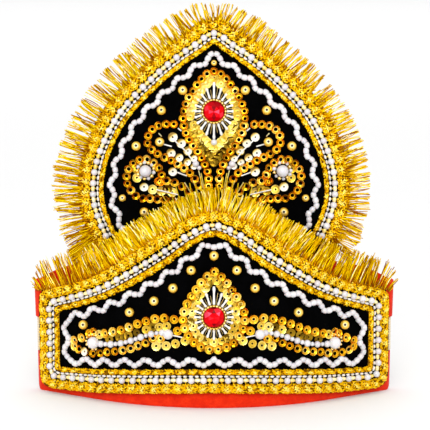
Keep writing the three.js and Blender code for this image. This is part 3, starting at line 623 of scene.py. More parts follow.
def copies(name, shape, seats, material, slot, replaced=(), jitter=0.0, tilt=0.0, seed=1):
    """Copies of a shape on all the seats, joined as one piece."""
    joined = {key: np.concatenate([seat[key] for seat in seats]) for key in seats[0]}
    mesh = bpy.data.meshes.new(name)
    mesh.from_pydata(joined["place"].tolist(), [], [])
    for key in ("facing", "along", "size"):
        store(mesh, key, joined[key])
    values = {"Shape": shape, "Size jitter": jitter, "Tilt": (tilt, tilt, 0.0), "Seed": seed,
              "Finish": material}
    return made_by(COPIES, name, mesh, values, replaced, slot)


def threads(name, lines, thickness, material, slot, replaced=(), sides=5, seed=1, closed=False, girth=None,
            shade=None):
    """Threads along lines of places in metres, joined as one piece; reach runs from 0 to 1 on each.
    shade has a number for each line or for each of its points."""
    mesh = bpy.data.meshes.new(name)
    edges = []
    start = 0
    for line in lines:
        count = len(line)
        edges += [(start + i, start + i + 1) for i in range(count - 1)]
        if closed:
            edges.append((start + count - 1, start))
        start += count
    mesh.from_pydata(np.concatenate(lines).tolist(), edges, [])
    reach = np.concatenate([np.linspace(0, 1, len(line)) for line in lines])
    store(mesh, "reach", reach)
    if shade is not None:
        counts = [len(line) for line in lines]
        store(mesh, "shade", np.ravel(shade) if np.ndim(shade) == 2 else np.repeat(shade, counts))
    store(mesh, "girth", np.ones(start) if girth is None else np.interp(reach, *girth))
    values = {"Thickness": thickness * MM, "Sides": sides, "Seed": seed, "Finish": material}
    return made_by(THREADS, name, mesh, values, replaced, slot)


# Shapes that are copied

SHAPES = []


def turned_shape(name, profile, sides, smooth=True, tone_side=None):
    """A closed profile of (radius, height) or (radius, height, tone) spun round the facing axis. tone_side
    is where the tones are full, when they fade out across the shape as a painted reflection."""
    work = bmesh.new()
    # The band layer takes the profile's tones, which are painted light
    band = work.verts.layers.float.new("band")
    rings = []
    for radius, height, *tone in profile:
        ring = []
        for a in np.linspace(0, math.tau, sides, endpoint=False):
            ring.append(work.verts.new((radius * math.cos(a) * MM, radius * math.sin(a) * MM, height * MM)))
            side_share = 1.0 if tone_side is None else 0.5 + 0.5 * math.cos(a - tone_side)
            ring[-1][band] = side_share * tone[0] if tone else 0.0
        rings.append(ring)
    for low, high in zip(rings, rings[1:] + rings[:1]):
        for i in range(sides):
            j = (i + 1) % sides
            work.faces.new((low[i], low[j], high[j], high[i]))
    bmesh.ops.remove_doubles(work, verts=work.verts, dist=1e-7)
    bmesh.ops.dissolve_degenerate(work, edges=work.edges, dist=1e-7)
    bmesh.ops.recalc_face_normals(work, faces=work.faces)
    for side in work.faces:
        side.smooth = smooth
    SHAPES.append(linked(name, work))
    return SHAPES[-1]


def ball_profile(radius, rings, tones=((0,), (0,))):
    """A half circle from the back pole to the front one; tones holds degrees from the front pole and
    the tone at each."""
    return [(radius * math.sin(a), -radius * math.cos(a), np.interp(180 - math.degrees(a), *tones))
            for a in np.linspace(0, math.pi, rings + 1)]


# Sheets: felt, velvet and elastic

def solid_sheet(name, rows, columns, place, thickness, bevel, material, slot, replaced, skip=None, uv=None):
    """A grid of places made into cloth of that thickness with soft edges; the grid is its outer face."""
    work = bmesh.new()
    grid = [[work.verts.new(place(u, v)) for v in range(rows)] for u in range(columns)]
    layer = work.loops.layers.uv.new("run_and_height")
    for u in range(columns - 1):
        for v in range(rows - 1):
            if skip and skip(u, v):
                continue
            cell = work.faces.new((grid[u][v], grid[u + 1][v], grid[u + 1][v + 1], grid[u][v + 1]))
            cell.smooth = True
            if uv:
                for loop, (a, b) in zip(cell.loops, ((u, v), (u + 1, v), (u + 1, v + 1), (u, v + 1))):
                    loop[layer].uv = uv(a, b)
    loose = [vert for vert in work.verts if not vert.link_faces]
    bmesh.ops.delete(work, geom=loose, context="VERTS")
    return thickened(name, work, thickness, bevel, material, slot, replaced)


def thickened(name, work, thickness, bevel, material, slot, replaced):
    """Gives a worked face a back and soft edges."""
    piece = linked(name, work, material)
    wall = piece.modifiers.new("wall", "SOLIDIFY")
    wall.thickness = thickness * MM
    wall.offset = -1.0
    wall.use_even_offset = True
    edge = piece.modifiers.new("edge", "BEVEL")
    edge.width = bevel * MM
    edge.segments = 2
    edge.limit_method = "ANGLE"
    edge.angle_limit = math.radians(50)
    evaluated = piece.evaluated_get(bpy.context.evaluated_depsgraph_get())
    result = bpy.data.meshes.new_from_object(evaluated)
    piece.modifiers.clear()
    piece.data = result
    return settle(piece, replaced, slot)


NOTCH_LOW = 20.05
NOTCH_HIGH = 37.95
ELASTIC_LOW = 20.4
ELASTIC_HIGH = 37.6
TURN_STOP = WING_END + TURN_RADIUS * TURN_SWEEP
FELT_LIFT = -PANEL_THICK - GAP
ELASTIC_LIFT = FELT_LIFT - FELT_THICK - GAP


def felt_band(material):
    """The red wall, with a notch in each turned-back end where the elastic comes through."""
    end_run = TURN_STOP + FELT_TAIL
    half = np.concatenate([np.linspace(0, WING_END, 34), np.linspace(WING_END, end_run, 9)[1:]])
    runs = np.concatenate([-half[:0:-1], half])
    # The turned-back ends: run, height of the lower edge, height of the upper edge
    ends = np.array([(WING_END, 0.0, 58.5), (101.4, 0.4, 58.2), (104.3, 1.4, 57.4), (106.7, 3.2, 56.4),
                     (end_run, 7.0, 54.0)])
    low = np.interp(np.abs(runs), ends[:, 0], ends[:, 1])
    top = np.interp(np.abs(runs), ends[:, 0], ends[:, 2])
    behind_fringe = np.interp(np.abs(runs), (46, 58, 80, BRAID_HALF), (0.0, 2.2, 2.2, 0.4))
    top = np.where(np.abs(runs) < BRAID_HALF, front_edge("felt", runs) + behind_fringe, top)
    shares = np.array([*np.linspace(0, 1, 6), *np.linspace(1, 2, 5)[1:], *np.linspace(2, 3, 10)[1:]])

    def place(u, v):
        height = np.interp(shares[v], (0, 1, 2, 3), (low[u], NOTCH_LOW, NOTCH_HIGH, top[u]))
        flare = np.interp(height, (0, NOTCH_LOW, NOTCH_HIGH, 58), (-1.0, -0.8, 0.1, 0.55))
        flare = flare * np.interp(abs(runs[u]), (WING_END, 104), (0, 1))
        return on_band(runs[u], height, FELT_LIFT + flare)

    def in_notch(u, v):
        return min(abs(runs[u]), abs(runs[u + 1])) >= WING_END - 0.01 and 1 <= shares[v] < 2

    solid_sheet("felt_band", len(shares), len(runs), place, FELT_THICK, 0.35, material, "felt", ["headband"],
                skip=in_notch)


def elastic_loop(material):
    """Cream elastic: inside both wings, round the turned ends and a plain half circle behind."""
    tuck = 11.0
    straight = 3.0
    runs = np.linspace(WING_END - tuck, TURN_STOP + straight, 30)
    side = on_band(runs, 0.0, ELASTIC_LIFT)
    pivot = side[-1]
    angles = np.linspace(0, math.pi, 61)[1:-1]
    back = np.stack([pivot[0] * np.cos(angles), pivot[1] + pivot[0] * np.sin(angles), 0 * angles], -1)
    line = np.vstack([side, back, (side * (-1, 1, 1))[::-1]])[::-1]
    run = lengths(line) / MM
    heights = np.linspace(ELASTIC_LOW, ELASTIC_HIGH, 9)

    def place(u, v):
        return line[u] + UP * heights[v] * MM

    def weave_place(u, v):
        return run[u], heights[v]

    solid_sheet("elastic_loop", len(heights), len(line), place, ELASTIC_THICK, 0.25, material, "elastic",
                ["elastic_strap"], uv=weave_place)


FRINGE_MARGIN = 1.0      # velvet past the braid, under the fringe


def front_velvet(material):
    """Velvet pulled over the curved front board."""
    half = np.concatenate([np.linspace(0, 90, 31), np.linspace(90, PANEL_HALF, 9)[1:]])
    runs = np.concatenate([-half[:0:-1], half])
    from_end = PANEL_HALF - np.abs(runs)
    low = front_edge("foot", runs) + np.interp(from_end, (0, 1.0, 2.3, 5.0), (6.5, 3.2, 1.4, 0.0))
    top = front_edge("crown", runs) + FRINGE_MARGIN - np.interp(from_end, (0, 1.5, 3.5), (4.8, 2.2, 0.0))
    shares = np.linspace(0, 1, 16)

    def place(u, v):
        return FrontFace.place(runs[u], low[u] + (top[u] - low[u]) * shares[v], 0.0)

    solid_sheet("front_velvet", len(shares), len(runs), place, PANEL_THICK, 0.5, material, "velvet",
                ["front_panel"])


def crest_velvet(material):
    """Velvet pulled over the leaf-shaped board, with a straight strip down inside the band."""
    shoulder = 78.0
    foot = 12.0
    strip = 59.0
    leaf = crest_rail(CREST_BORDER + FRINGE_MARGIN)
    leaf = leaf[leaf[:, 1] > shoulder]
    outline = np.vstack([(-strip, foot), (-strip, shoulder), leaf, (strip, shoulder), (strip, foot)])
    work = bmesh.new()
    work.faces.new([work.verts.new(place) for place in on_face(CrestFace, outline, 0.0)])
    bmesh.ops.recalc_face_normals(work, faces=work.faces)
    if work.faces[:][0].normal.y > 0:
        bmesh.ops.reverse_faces(work, faces=work.faces)
    bmesh.ops.triangulate(work, faces=work.faces)
    thickened("crest_velvet", work, CREST_THICK, 0.6, material, "velvet", ["crest_panel"])


# Braid

def matched(outer, inner, step, closed):
    """Two rails read at the same places, evenly spaced along the line between them; then the places and the
    length of that line."""
    a = curve_through(outer, closed)
    b = curve_through(inner, closed)
    run = lengths((a + b) / 2)
    count = round(run[-1] / step)
    stops = np.linspace(0, run[-1], count + 1)
    if closed:
        stops = stops[:-1]
    return read_at(a, run, stops), read_at(b, run, stops), stops, run[-1]


STITCH_PITCH = 1.25
STITCH_REACH = (0.42, 0.75)      # from a stitch's middle to its end
STITCH_SLANT = (0.3, 0.7)        # in widths of a row
YARN = 0.92


def plaited_gimp(name, face, outer, inner, closed, rows, pitch, swelling, scallop, bright, replaced, seed):
    """Gimp between two rails: rows of short slanted stitches, turned the other way in every second row, that
    swell into a lump beside each pearl."""
    edge, rim, run, total = matched(outer, inner, 0.25, closed)
    rng = np.random.default_rng(seed)
    lumps = round(total / pitch)
    count = round(total / STITCH_PITCH)
    lines = []
    shade = []
    for row in range(rows):
        # Where each stitch's middle lies, along the band and across it
        middle = (np.arange(count) + 0.5 * (row % 2)) * total / count + rng.normal(0, 0.2, count)
        swell = 0.5 + 0.5 * np.cos(math.tau * lumps * middle / total)
        share = (row + 0.5 + rng.normal(0, 0.12, count)) / rows
        share = 0.5 + (share - 0.5) * (1.04 - scallop + scallop * swell)
        crown = 1 - (2 * share - 1) ** 2
        slant = (1 if row % 2 else -1) * rng.uniform(*STITCH_SLANT, count) / rows
        reach = rng.uniform(*STITCH_REACH, count)
        # A stitch on a lump lies higher and has a painted highlight; a few between two lumps get painted
        # shade
        high = GAP + 0.65 + (0.35 + swelling * swell) * crown + rng.normal(0, 0.12, count)
        stitch = []
        for step, rise in ((-1, -0.3), (0, 0.1), (1, -0.3)):
            where = middle + step * reach
            where = where % total if closed else np.clip(where, 0, total)
            part = np.clip(share + step * slant, 0.02, 0.98)[:, None]
            flat = read_at(edge, run, where) * (1 - part) + read_at(rim, run, where) * part
            stitch.append(on_face(face, flat, high + rise))
        lines += list(np.stack(stitch, 1))
        gap_shade = rng.uniform(0, 1, count) < 0.02 + 0.22 * (1 - swell) ** 3
        shade.append(bright + rng.uniform(0.1, 0.28, count) + 0.5 * (swell * crown) ** 2 - 0.4 * gap_shade)
    threads(name, lines, YARN, GIMP, "tinsel", replaced, sides=4, seed=seed, shade=np.concatenate(shade),
            girth=((0, 0.5, 1), (0.6, 1.0, 0.6)))


def ground(name, face, outer, inner, closed, high, material):
    """The woven ground that a plait is sewn to."""
    edge, rim = matched(outer, inner, 2.0, closed)[:2]
    work = bmesh.new()
    rings = []
    for a, b in zip(edge, rim):
        middle = (a + b) / 2
        section = ((a, GAP), (a, high * 0.6), (middle, high), (b, high * 0.6), (b, GAP))
        rings.append([work.verts.new(face.place(*point, lift)) for point, lift in section])
    pairs = list(zip(rings, rings[1:] + rings[:1])) if closed else list(zip(rings, rings[1:]))
    sides = len(rings[0])
    for here, ahead in pairs:
        for i in range(sides):
            j = (i + 1) % sides
            work.faces.new((here[i], here[j], ahead[j], ahead[i]))
    if not closed:
        work.faces.new(rings[0])
        work.faces.new(rings[-1][::-1])
    bmesh.ops.recalc_face_normals(work, faces=work.faces)
    settle(linked(name, work, material), (), "tinsel")


# Fringe

# Share of the way from the middle to the end, length, lean outwards in degrees, strands on each millimetre,
# spread in degrees, how far a tuft draws together, darkest and brightest common painted shade
FRINGE_COLUMNS = ("share", "length", "lean", "density", "spread", "together", "dark", "bright")
FRONT_FRINGE = np.array([
    (0.0, 11.4, 0, 8.0, 8, 0.1, 0.24, 0.9), (0.3, 11.5, 0, 8.0, 8, 0.15, 0.24, 0.9),
    (0.55, 13.0, 2, 7.2, 5, 0.3, 0.1, 0.7), (0.74, 15.6, 6, 6.2, 3, 0.4, 0.02, 0.58),
    (0.84, 16.0, 7, 4.0, 2.5, 0.5, 0.04, 0.6), (0.92, 14.2, 10, 3.7, 2.5, 0.5, 0.04, 0.6),
    (0.97, 10.2, 20, 3.8, 2.5, 0.5, 0.0, 0.55), (1.0, 5.6, 38, 3.8, 2.5, 0.5, 0.0, 0.55),
])
CREST_FRINGE = np.array([
    (0.0, 7.0, 0, 5.4, 3, 0.4, 0.1, 0.84), (0.1, 11.8, 0, 5.2, 3, 0.4, 0.1, 0.84),
    (0.5, 12.5, 0, 5.2, 3, 0.4, 0.08, 0.82), (0.88, 13.2, -6, 5.6, 3, 0.35, 0.04, 0.74),
    (0.95, 13.4, 0, 7.4, 5, 0.1, 0.0, 0.6), (1.0, 13.4, 14, 9.0, 8, 0.0, 0.0, 0.56),
])
STRAND = 0.54
STRAND_STEPS = np.array([-0.08, 0.2, 0.45, 0.72, 1.0])
STRAND_LIFT = (0.35, 1.5)
STRAND_SWAY = 0.8                # spread of the tips, forwards and back
STRAND_CURL = 0.35
TUFT_WIDTHS = (0.6, 1.4)         # narrowest and widest tuft against the common one
TUFT_LEAN = math.radians(5)
TUFT_REACH = (0.9, 1.05)
DRAW_CHANGE = 0.3                # how far one tuft may draw together more or less than the next
FOOT_DRAW = 0.8                  # how far a tuft draws together at its foot, against at its tip
STUB_REACH = (0.28, 0.62)        # a short strand against a whole one
STUB_LIFT = (1.4, 2.2)
STUB_INSET = 2.2                 # how far in on the braid a short strand may start
# Painted flashes and painted shade along each strand as it twists
TWIST_TURN = 4.5                 # radians along a strand
TWIST_SHADE = 0.22
# Shades of the pale strands, which are painted glints
GLINT_SHADES = (0.85, 1)


def fringe(name, face, head, table, tuft, pale, root_shade, short, ragged, right, replaced, seed):
    """Tinsel strands in tufts, square to the edge that they hang from. A tuft draws together or falls apart,
    at its foot too, and short strands start on the braid. Each strand twists, and its colour carries painted
    flashes and painted shade that change on its way, with painted shade towards the root. pale and short are
    the shares of pale strands, which are painted glints, and of short strands; right is the length on the
    right against that on the left."""
    rng = np.random.default_rng(seed)
    path = spaced(head, 0.25)
    out = leftward(path)
    run = lengths(path)
    total = run[-1]

    def common(column):
        share = np.abs(2 * roots / total - 1)
        return np.interp(share, table[:, 0], table[:, FRINGE_COLUMNS.index(column)])

    densest = table[:, FRINGE_COLUMNS.index("density")].max()
    roots = np.sort(rng.uniform(0, total, int(total * densest)))
    roots = roots[rng.uniform(0, densest, len(roots)) < common("density")]
    count = len(roots)
    narrow, wide = TUFT_WIDTHS
    bounds = np.cumsum(rng.uniform(narrow * tuft, wide * tuft, int(2 * total / tuft)))
    group = np.searchsorted(bounds, roots)
    groups = group.max() + 1
    middle = np.array([roots[group == g].mean() if (group == g).any() else 0.0 for g in range(groups)])
    group_lean = rng.normal(0, TUFT_LEAN, groups)
    group_draw = rng.uniform(-DRAW_CHANGE, DRAW_CHANGE, groups)
    group_reach = rng.uniform(*TUFT_REACH, groups)
    side = np.where(roots < total / 2, -1.0, 1.0)
    together = common("together")
    dark = common("dark")
    bright = common("bright")
    length = common("length") * group_reach[group] * rng.uniform(1.04 - ragged, 1.04, count)
    length = length * np.interp(roots / total, (0.5, 0.62), (1.0, right))
    stub = rng.uniform(0, 1, count) < short
    length = length * np.where(stub, rng.uniform(*STUB_REACH, count), 1.0)
    lean = -side * np.radians(common("lean")) + group_lean[group]
    lean = lean + np.radians(common("spread")) * rng.normal(0, 1, count)
    draw = (middle[group] - roots) * (together + group_draw[group])
    feet = roots + (middle[group] - roots) * np.where(stub, 0.0, FOOT_DRAW * together)
    start = read_along(path, feet)
    away = read_at(out, run, roots)
    away = np.stack([away[:, 0] * np.cos(lean) - away[:, 1] * np.sin(lean),
                     away[:, 0] * np.sin(lean) + away[:, 1] * np.cos(lean)], -1)
    aside = np.stack([away[:, 1], -away[:, 0]], -1)
    start = start - away * (stub * rng.uniform(0, STUB_INSET, count))[:, None]
    low = np.where(stub, rng.uniform(*STUB_LIFT, count), rng.uniform(*STRAND_LIFT, count))
    high = low + rng.normal(0, STRAND_SWAY, count)
    curl = rng.normal(0, STRAND_CURL, count)
    lines = []
    for t in STRAND_STEPS:
        bend = draw * max(t, 0) + curl * math.sin(math.pi * max(t, 0))
        flat = start + away * (length * t)[:, None] + aside * bend[:, None]
        lift = np.maximum(low + (high - low) * max(t, 0) ** 2, GAP)
        lines.append(on_face(face, flat, lift))
    strands = list(np.stack(lines, 1))
    shade = rng.uniform(dark, bright)
    # Pale strands are painted glints, fewer where the common painted shade is darker
    painted_glint = rng.uniform(0, 1, count) < pale * (bright / bright.max()) ** 2
    shade = np.where(painted_glint, rng.uniform(*GLINT_SHADES, count), shade)
    twist = rng.uniform(0, math.tau, count)[:, None] + TWIST_TURN * STRAND_STEPS
    # Painted flash and shade as each strand twists, and painted shade towards the root
    shade = shade[:, None] + TWIST_SHADE * np.sin(twist) - root_shade * (1 - STRAND_STEPS) ** 3
    threads(name, strands, STRAND, TINSEL, "tinsel", replaced, sides=3, seed=seed, shade=shade,
            girth=((0, 0.6, 1), (1.0, 0.95, 0.85)))


# Strings of pearls

def zigzag(path, swing, length, first):
    """Turning points from side to side, the same on both halves of the crown."""
    total = lengths(curve_through(path))[-1]
    even = spaced(path, total / (2 * round(total / length)))
    side = np.where(np.arange(len(even)) % 2, -first, first) * swing
    return even + leftward(even) * side[:, None]


def opened_at_foot(loop):
    """A loop that starts and ends at the middle of its bottom edge."""
    middle = len(FRONT_EDGES) - 2
    return np.vstack([loop[middle:], loop[:middle + 1]])


# Sheets
felt_band(RED_FELT)
elastic_loop(CREAM_ELASTIC)
front_velvet(BLACK_VELVET)
crest_velvet(BLACK_VELVET)

# Borders. The gimp swells once for each pearl of the row beside it.
PEARL_PITCH = {"front": 5.9, "crest": 5.5}
for label, face, outer, inner, closed, rows, swelling, scallop, bright, seed in (
        ("front_braid_outer", FrontFace, front_rail(0.02), front_rail(0.42), True, 7, 1.1, 0.14, 0.06, 11),
        ("front_braid_inner", FrontFace, front_rail(0.765), front_rail(1.0), True, 5, 0.8, 0.35, -0.06, 12),
        ("crest_braid_outer", CrestFace, crest_rail(7.0), crest_rail(1.5), False, 7, 0.6, 0.14, 0.08, 13),
        ("crest_braid_inner", CrestFace, crest_rail(-2.9), crest_rail(-5.2), False, 4, 0.6, 0.3, 0.0, 14)):
    pitch = PEARL_PITCH[label[:5]]
    plaited_gimp(f"{label}_gimp", face, outer, inner, closed, rows, pitch, swelling, scallop, bright,
                 [label], seed)
    ground(f"{label}_ground", face, outer, outer + 0.85 * (inner - outer), closed, 0.8, GROUND)

# Fringe
along_top = np.linspace(-BRAID_HALF, BRAID_HALF, 41)
front_head = np.stack([along_top, front_edge("crown", along_top) + GAP], -1)
# The fringe's woven heading; its dark brown also paints shade at the roots of the strands
front_heading = [np.stack([along_top, front_edge("crown", along_top) + rise], -1) for rise in (0.9, -GAP)]
ground("front_heading", FrontFace, *front_heading, False, 0.7, GROUND)
ground("crest_heading", CrestFace, crest_rail(7.7), crest_rail(6.6), False, 0.7, GROUND)
fringe("front_tinsel", FrontFace, front_head, FRONT_FRINGE, tuft=2.0, pale=0.16, root_shade=0.1, short=0.14,
       ragged=0.22, right=1.0, replaced=["front_fringe"], seed=21)
fringe("crest_tinsel", CrestFace, crest_rail(CREST_BORDER + GAP), CREST_FRINGE, tuft=1.4, pale=0.06,
       root_shade=0.14, short=0.44, ragged=0.12, right=0.84, replaced=["crest_fringe"], seed=22)

# Rows and zigzags of pearls
PEARL_RADIUS = 1.45
ROW_PEARL_RADIUS = 1.7
SEED_RADIUS = 1.25
BARREL_RADIUS = 1.0
BAR_REACH = np.array([-2.0, 0.0, 2.0])      # a gold bar across the row, between two pearls
BAR_LIFT = np.array([0.7, 1.0, 0.7])
BAR = 0.6
DASH = 2.3                                  # a white stitch beside the row
DASH_STEPS = 5
DASH_THREAD = 1.25
pearl = turned_shape("pearl", ball_profile(PEARL_RADIUS, 6), 10)
oat_pearl = turned_shape("oat_pearl", [(0, -1.46), (1.05, -1.46), (1.38, -0.85), (1.5, 0), (1.38, 0.85),
                                       (1.05, 1.46), (0, 1.46)], 10)
barrel = turned_shape("barrel", [(0, -1.3), (0.7, -1.3), (0.95, -0.8), (BARREL_RADIUS, 0), (0.95, 0.8),
                                 (0.7, 1.3), (0, 1.3)], 8)
row_pearl = turned_shape("row_pearl", ball_profile(ROW_PEARL_RADIUS, 6), 10)
seed_bead = turned_shape("seed_bead", ball_profile(SEED_RADIUS, 5), 8)
for face, label, line, inside, closed in (
        (FrontFace, "front", front_rail(0.56), front_rail(0.71), True),
        (CrestFace, "crest", crest_rail(0.0), crest_rail(-2.2), False)):
    path = curve_through(line, closed)
    total = lengths(path)[-1]
    pearls = round(total / PEARL_PITCH[label])
    stops = (np.arange(pearls) + 0.5) * total / pearls
    between = np.arange(0 if closed else 1, pearls) * total / pearls
    copies(f"{label}_row_pearls", row_pearl, [seated(face, read_along(path, stops), GAP + ROW_PEARL_RADIUS)],
           PEARL, "pearl", [f"{label}_pearl_row"], jitter=0.04, seed=31)
    gaps = read_along(path, between)
    ahead = read_along(path, between + 0.1) - gaps
    barrels = laid(seated(face, gaps, GAP + BARREL_RADIUS, heading=ahead))
    copies(f"{label}_row_barrels", barrel, [barrels], SEED_GOLD, "gold", jitter=0.05, seed=32)
    aside = np.stack([-ahead[:, 1], ahead[:, 0]], -1) / np.linalg.norm(ahead, axis=1, keepdims=True)
    bars = []
    for gap, left in zip(gaps, aside):
        flat = gap + np.outer(BAR_REACH, left)
        bars.append(on_face(face, flat, BAR_LIFT))
    threads(f"{label}_row_bars", bars, BAR, GIMP, "tinsel", sides=4, seed=35, shade=np.full(len(bars), 0.3))
    stitch = curve_through(inside, closed)
    whole = lengths(stitch)[-1]
    rng = np.random.default_rng(36)
    dash_lift = GAP + 0.6 + 0.3 * np.sin(np.linspace(0, math.pi, DASH_STEPS))
    dashes = []
    for stop in np.concatenate([stops, between]) * whole / total:
        half = DASH / 2 * rng.uniform(0.75, 1.15)
        flat = read_along(stitch, np.linspace(stop - half, stop + half, DASH_STEPS) % whole)
        dashes.append(on_face(face, flat, dash_lift))
    threads(f"{label}_row_stitches", dashes, DASH_THREAD, WHITE_THREAD, "pearl", sides=5, seed=34,
            girth=((0, 0.2, 0.8, 1), (0.4, 1, 1, 0.4)))

WAVE_HALF = 83.2         # half the length of the loop that the front zigzag stays inside
WAVE_CORNER = 5
FRONT_WAVE_INSET = 3.6
CREST_WAVE_RAIL = -9.4   # from the pearl row inwards
WAVE_STEP = 2.85
wave_loop = front_loop(WAVE_HALF, "window_foot", "window_crown", WAVE_CORNER, WAVE_CORNER)
front_wave = zigzag(offset(opened_at_foot(wave_loop), FRONT_WAVE_INSET), swing=1.5, length=11.3, first=1)
crest_wave = zigzag(crest_rail(CREST_WAVE_RAIL), swing=1.2, length=10.5, first=-1)
for face, label, line in ((FrontFace, "front", front_wave), (CrestFace, "crest", crest_wave)):
    string = spaced(line, WAVE_STEP)
    seats = [laid(seated(face, string, GAP + PEARL_RADIUS, heading=headings(string)))]
    copies(f"{label}_wave_pearls", oat_pearl, seats, PEARL, "pearl", [f"{label}_pearl_wave"], jitter=0.06,
           seed=33)

# Sequin work. The right half of each figure is listed; the left half mirrors it.
FRONT_STEP = 4.55
RING_STEP = 4.2
CREST_STEP = 3.7
# Cup profiles of (radius, height, band): the band paints rings of highlight and shade
FRONT_CUP = [(0.68, 0.1, 0.55), (1.1, 0.13, 0.4), (1.5, 0.22, 0.05), (1.9, 0.5, 0.45), (2.3, 0.8, 0.35),
             (2.38, 0.66, 0.1), (1.4, 0.0, 0.1)]
CREST_CUP = [(0.98, 0.1, 0.5), (1.28, 0.15, 0.3), (1.6, 0.38, 0.05), (2.08, 0.8, 0.5), (2.16, 0.66, 0.15),
             (1.4, 0.0, 0.1)]
# The flat sequin's band paints highlight rings at the hole and the rim
FLAT_SEQUIN = [(0.58, 0.06, 0.5), (1.3, 0.1, 0.15), (2.3, 0.42, 0.5), (1.4, 0.0, 0.2)]
# The white disc's band paints a gold reflection, fullest towards the upper left
WHITE_DISC = [(0.5, 0.06, 0.5), (1.3, 0.1, 0.7), (2.3, 0.42, 1.0), (1.4, 0.0, 0.5)]
SEQUIN_SIDES = 12
front_cup = turned_shape("front_cup", FRONT_CUP, SEQUIN_SIDES, smooth=False)
crest_cup = turned_shape("crest_cup", CREST_CUP, SEQUIN_SIDES, smooth=False)
flat_sequin = turned_shape("flat_sequin", FLAT_SEQUIN, SEQUIN_SIDES, smooth=False)
white_disc = turned_shape("white_disc", WHITE_DISC, SEQUIN_SIDES, smooth=False, tone_side=math.radians(125))

FRONT_MEDALLION = [(0, 69.4), (5.4, 64.6), (10.4, 57.6), (14.4, 49.8), (15, 44.6), (13.2, 38.6), (8.2, 32.9),
                   (0, 30.4)]
FRONT_SCROLL_TOP = [(19.4, 45.4), (24.2, 45.7), (29.1, 45.2), (37.7, 42.2), (46.6, 38.3), (56, 35.5)]
FRONT_SCROLL_FOOT = [(72, 25.4), (67, 24.4), (62.1, 24.5), (56.5, 25.9), (50.4, 26.9), (45.5, 28.1),
                     (40.8, 29.7), (33.6, 33), (30.2, 35.3)]
FRONT_SCROLL_END = [(70.2, 31.7), (74.9, 29.8), (74.7, 26.7)]
CREST_MEDALLION = [(2.7, 108.4), (2.8, 113.6), (4.6, 119.4), (8, 125.6), (12, 131), (14.8, 138.4),
                   (15.1, 144.8), (12.8, 151.4), (8.4, 158.4), (4, 163.8), (0, 165.4)]
CREST_SCROLL_UPPER = [(19.8, 139.3), (26, 139), (31, 136.2), (33, 131.2), (31, 126.8), (26.6, 123.9),
                      (20.6, 121), (15, 117.6), (10.6, 113.6), (7.7, 109)]
CREST_SCROLL_LOWER = [(26.6, 110.4), (26, 115.2), (29, 119.4), (34.2, 122), (39.6, 120.2), (43.2, 114.4),
                      (42, 107.6), (37.6, 103), (31, 102.2), (24, 101.6), (17, 101)]
CREST_SCROLL_TAIL = [(27.6, 110.8), (23.2, 111.1), (19.2, 110.2), (15.9, 108.4), (12.6, 106)]


def both(points):
    """Points on the right half and their mirror images; a point on the middle line comes once."""
    points = np.atleast_2d(np.asarray(points, float))
    return np.vstack([points, mirrored(points[points[:, 0] > 0.01])])


def sequin_row(face, line, step, lift, lean):
    """Seats for overlapping sequins along a line and along its mirror image."""
    seats = []
    for path in (spaced(line, step), spaced(mirrored(line), step)):
        seats.append(seated(face, path, lift, heading=headings(path), lean=lean))
    return seats


def sized(face, rows, lift):
    """Seats on both halves for rows of (along, height, size)."""
    return [seated(face, both([row[:2]]), lift, row[2]) for row in rows]


CUP_LIFT = 1.0
FRONT_LEAN = 0.08
RING_LEAN = 0.2
CREST_LEAN = 0.2
front_ring = np.vstack([FRONT_MEDALLION[:-1], mirrored(FRONT_MEDALLION)[:0:-1]])
medallion_cups = spaced(front_ring, RING_STEP, closed=True)
ring_ahead = headings(medallion_cups, closed=True)
front_cups = [seated(FrontFace, medallion_cups, CUP_LIFT, heading=ring_ahead, lean=RING_LEAN)]
front_cups += sequin_row(FrontFace, FRONT_SCROLL_TOP, FRONT_STEP, CUP_LIFT, FRONT_LEAN)
SINGLE_CUPS = [(17.7, 39.6), (26.3, 35.4), (62.7, 35.5), (65.4, 34.3), *FRONT_SCROLL_END]
front_cups.append(seated(FrontFace, both(SINGLE_CUPS), CUP_LIFT))
copies("front_cup_sequins", front_cup, front_cups, CUP_GOLD, "sequin",
       ["front_medallion", "front_scroll_right", "front_scroll_left"], jitter=0.04, tilt=0.15, seed=41)
thin_cups = sequin_row(FrontFace, FRONT_SCROLL_FOOT, FRONT_STEP, CUP_LIFT, FRONT_LEAN)
copies("front_thin_cup_sequins", crest_cup, thin_cups, CUP_GOLD, "sequin", jitter=0.06, tilt=0.2, seed=45)
crest_cups = []
for line in (CREST_MEDALLION, CREST_SCROLL_UPPER, CREST_SCROLL_LOWER, CREST_SCROLL_TAIL):
    crest_cups += sequin_row(CrestFace, line, CREST_STEP, CUP_LIFT, CREST_LEAN)
copies("crest_cup_sequins", crest_cup, crest_cups, CUP_GOLD, "sequin",
       ["crest_medallion", "crest_scroll_upper_right", "crest_scroll_upper_left", "crest_scroll_lower_right",
        "crest_scroll_lower_left"], jitter=0.06, tilt=0.2, seed=42)

FRONT_PALE = [(1.5, 64.9), (4.1, 61.4), (6.6, 58.2), (7.8, 55.1), (8.9, 52.2), (10.6, 49.5), (10.6, 45.5),
              (10.1, 42.1), (9.0, 39.3), (7.1, 36.8), (3.9, 35.0), (0, 34.2), (28.6, 31.4), (23.6, 31.9),
              (18.8, 33.1), (14.1, 34.7), (26.9, 41.1), (23.3, 41.7), (33.7, 39.3), (59.7, 34.5)]
FRONT_SHADED_OLIVE = [(3.0, 63.2), (8.8, 57.4), (11.2, 52.8), (11.6, 44.0), (6.2, 36.2), (43.1, 35.6), (48.0, 34.3),
               (45.6, 34.6), (30.2, 40.8), (38.5, 37.4), (53.7, 32.8)]
FRONT_WHITE = (-68.0, 24.9)
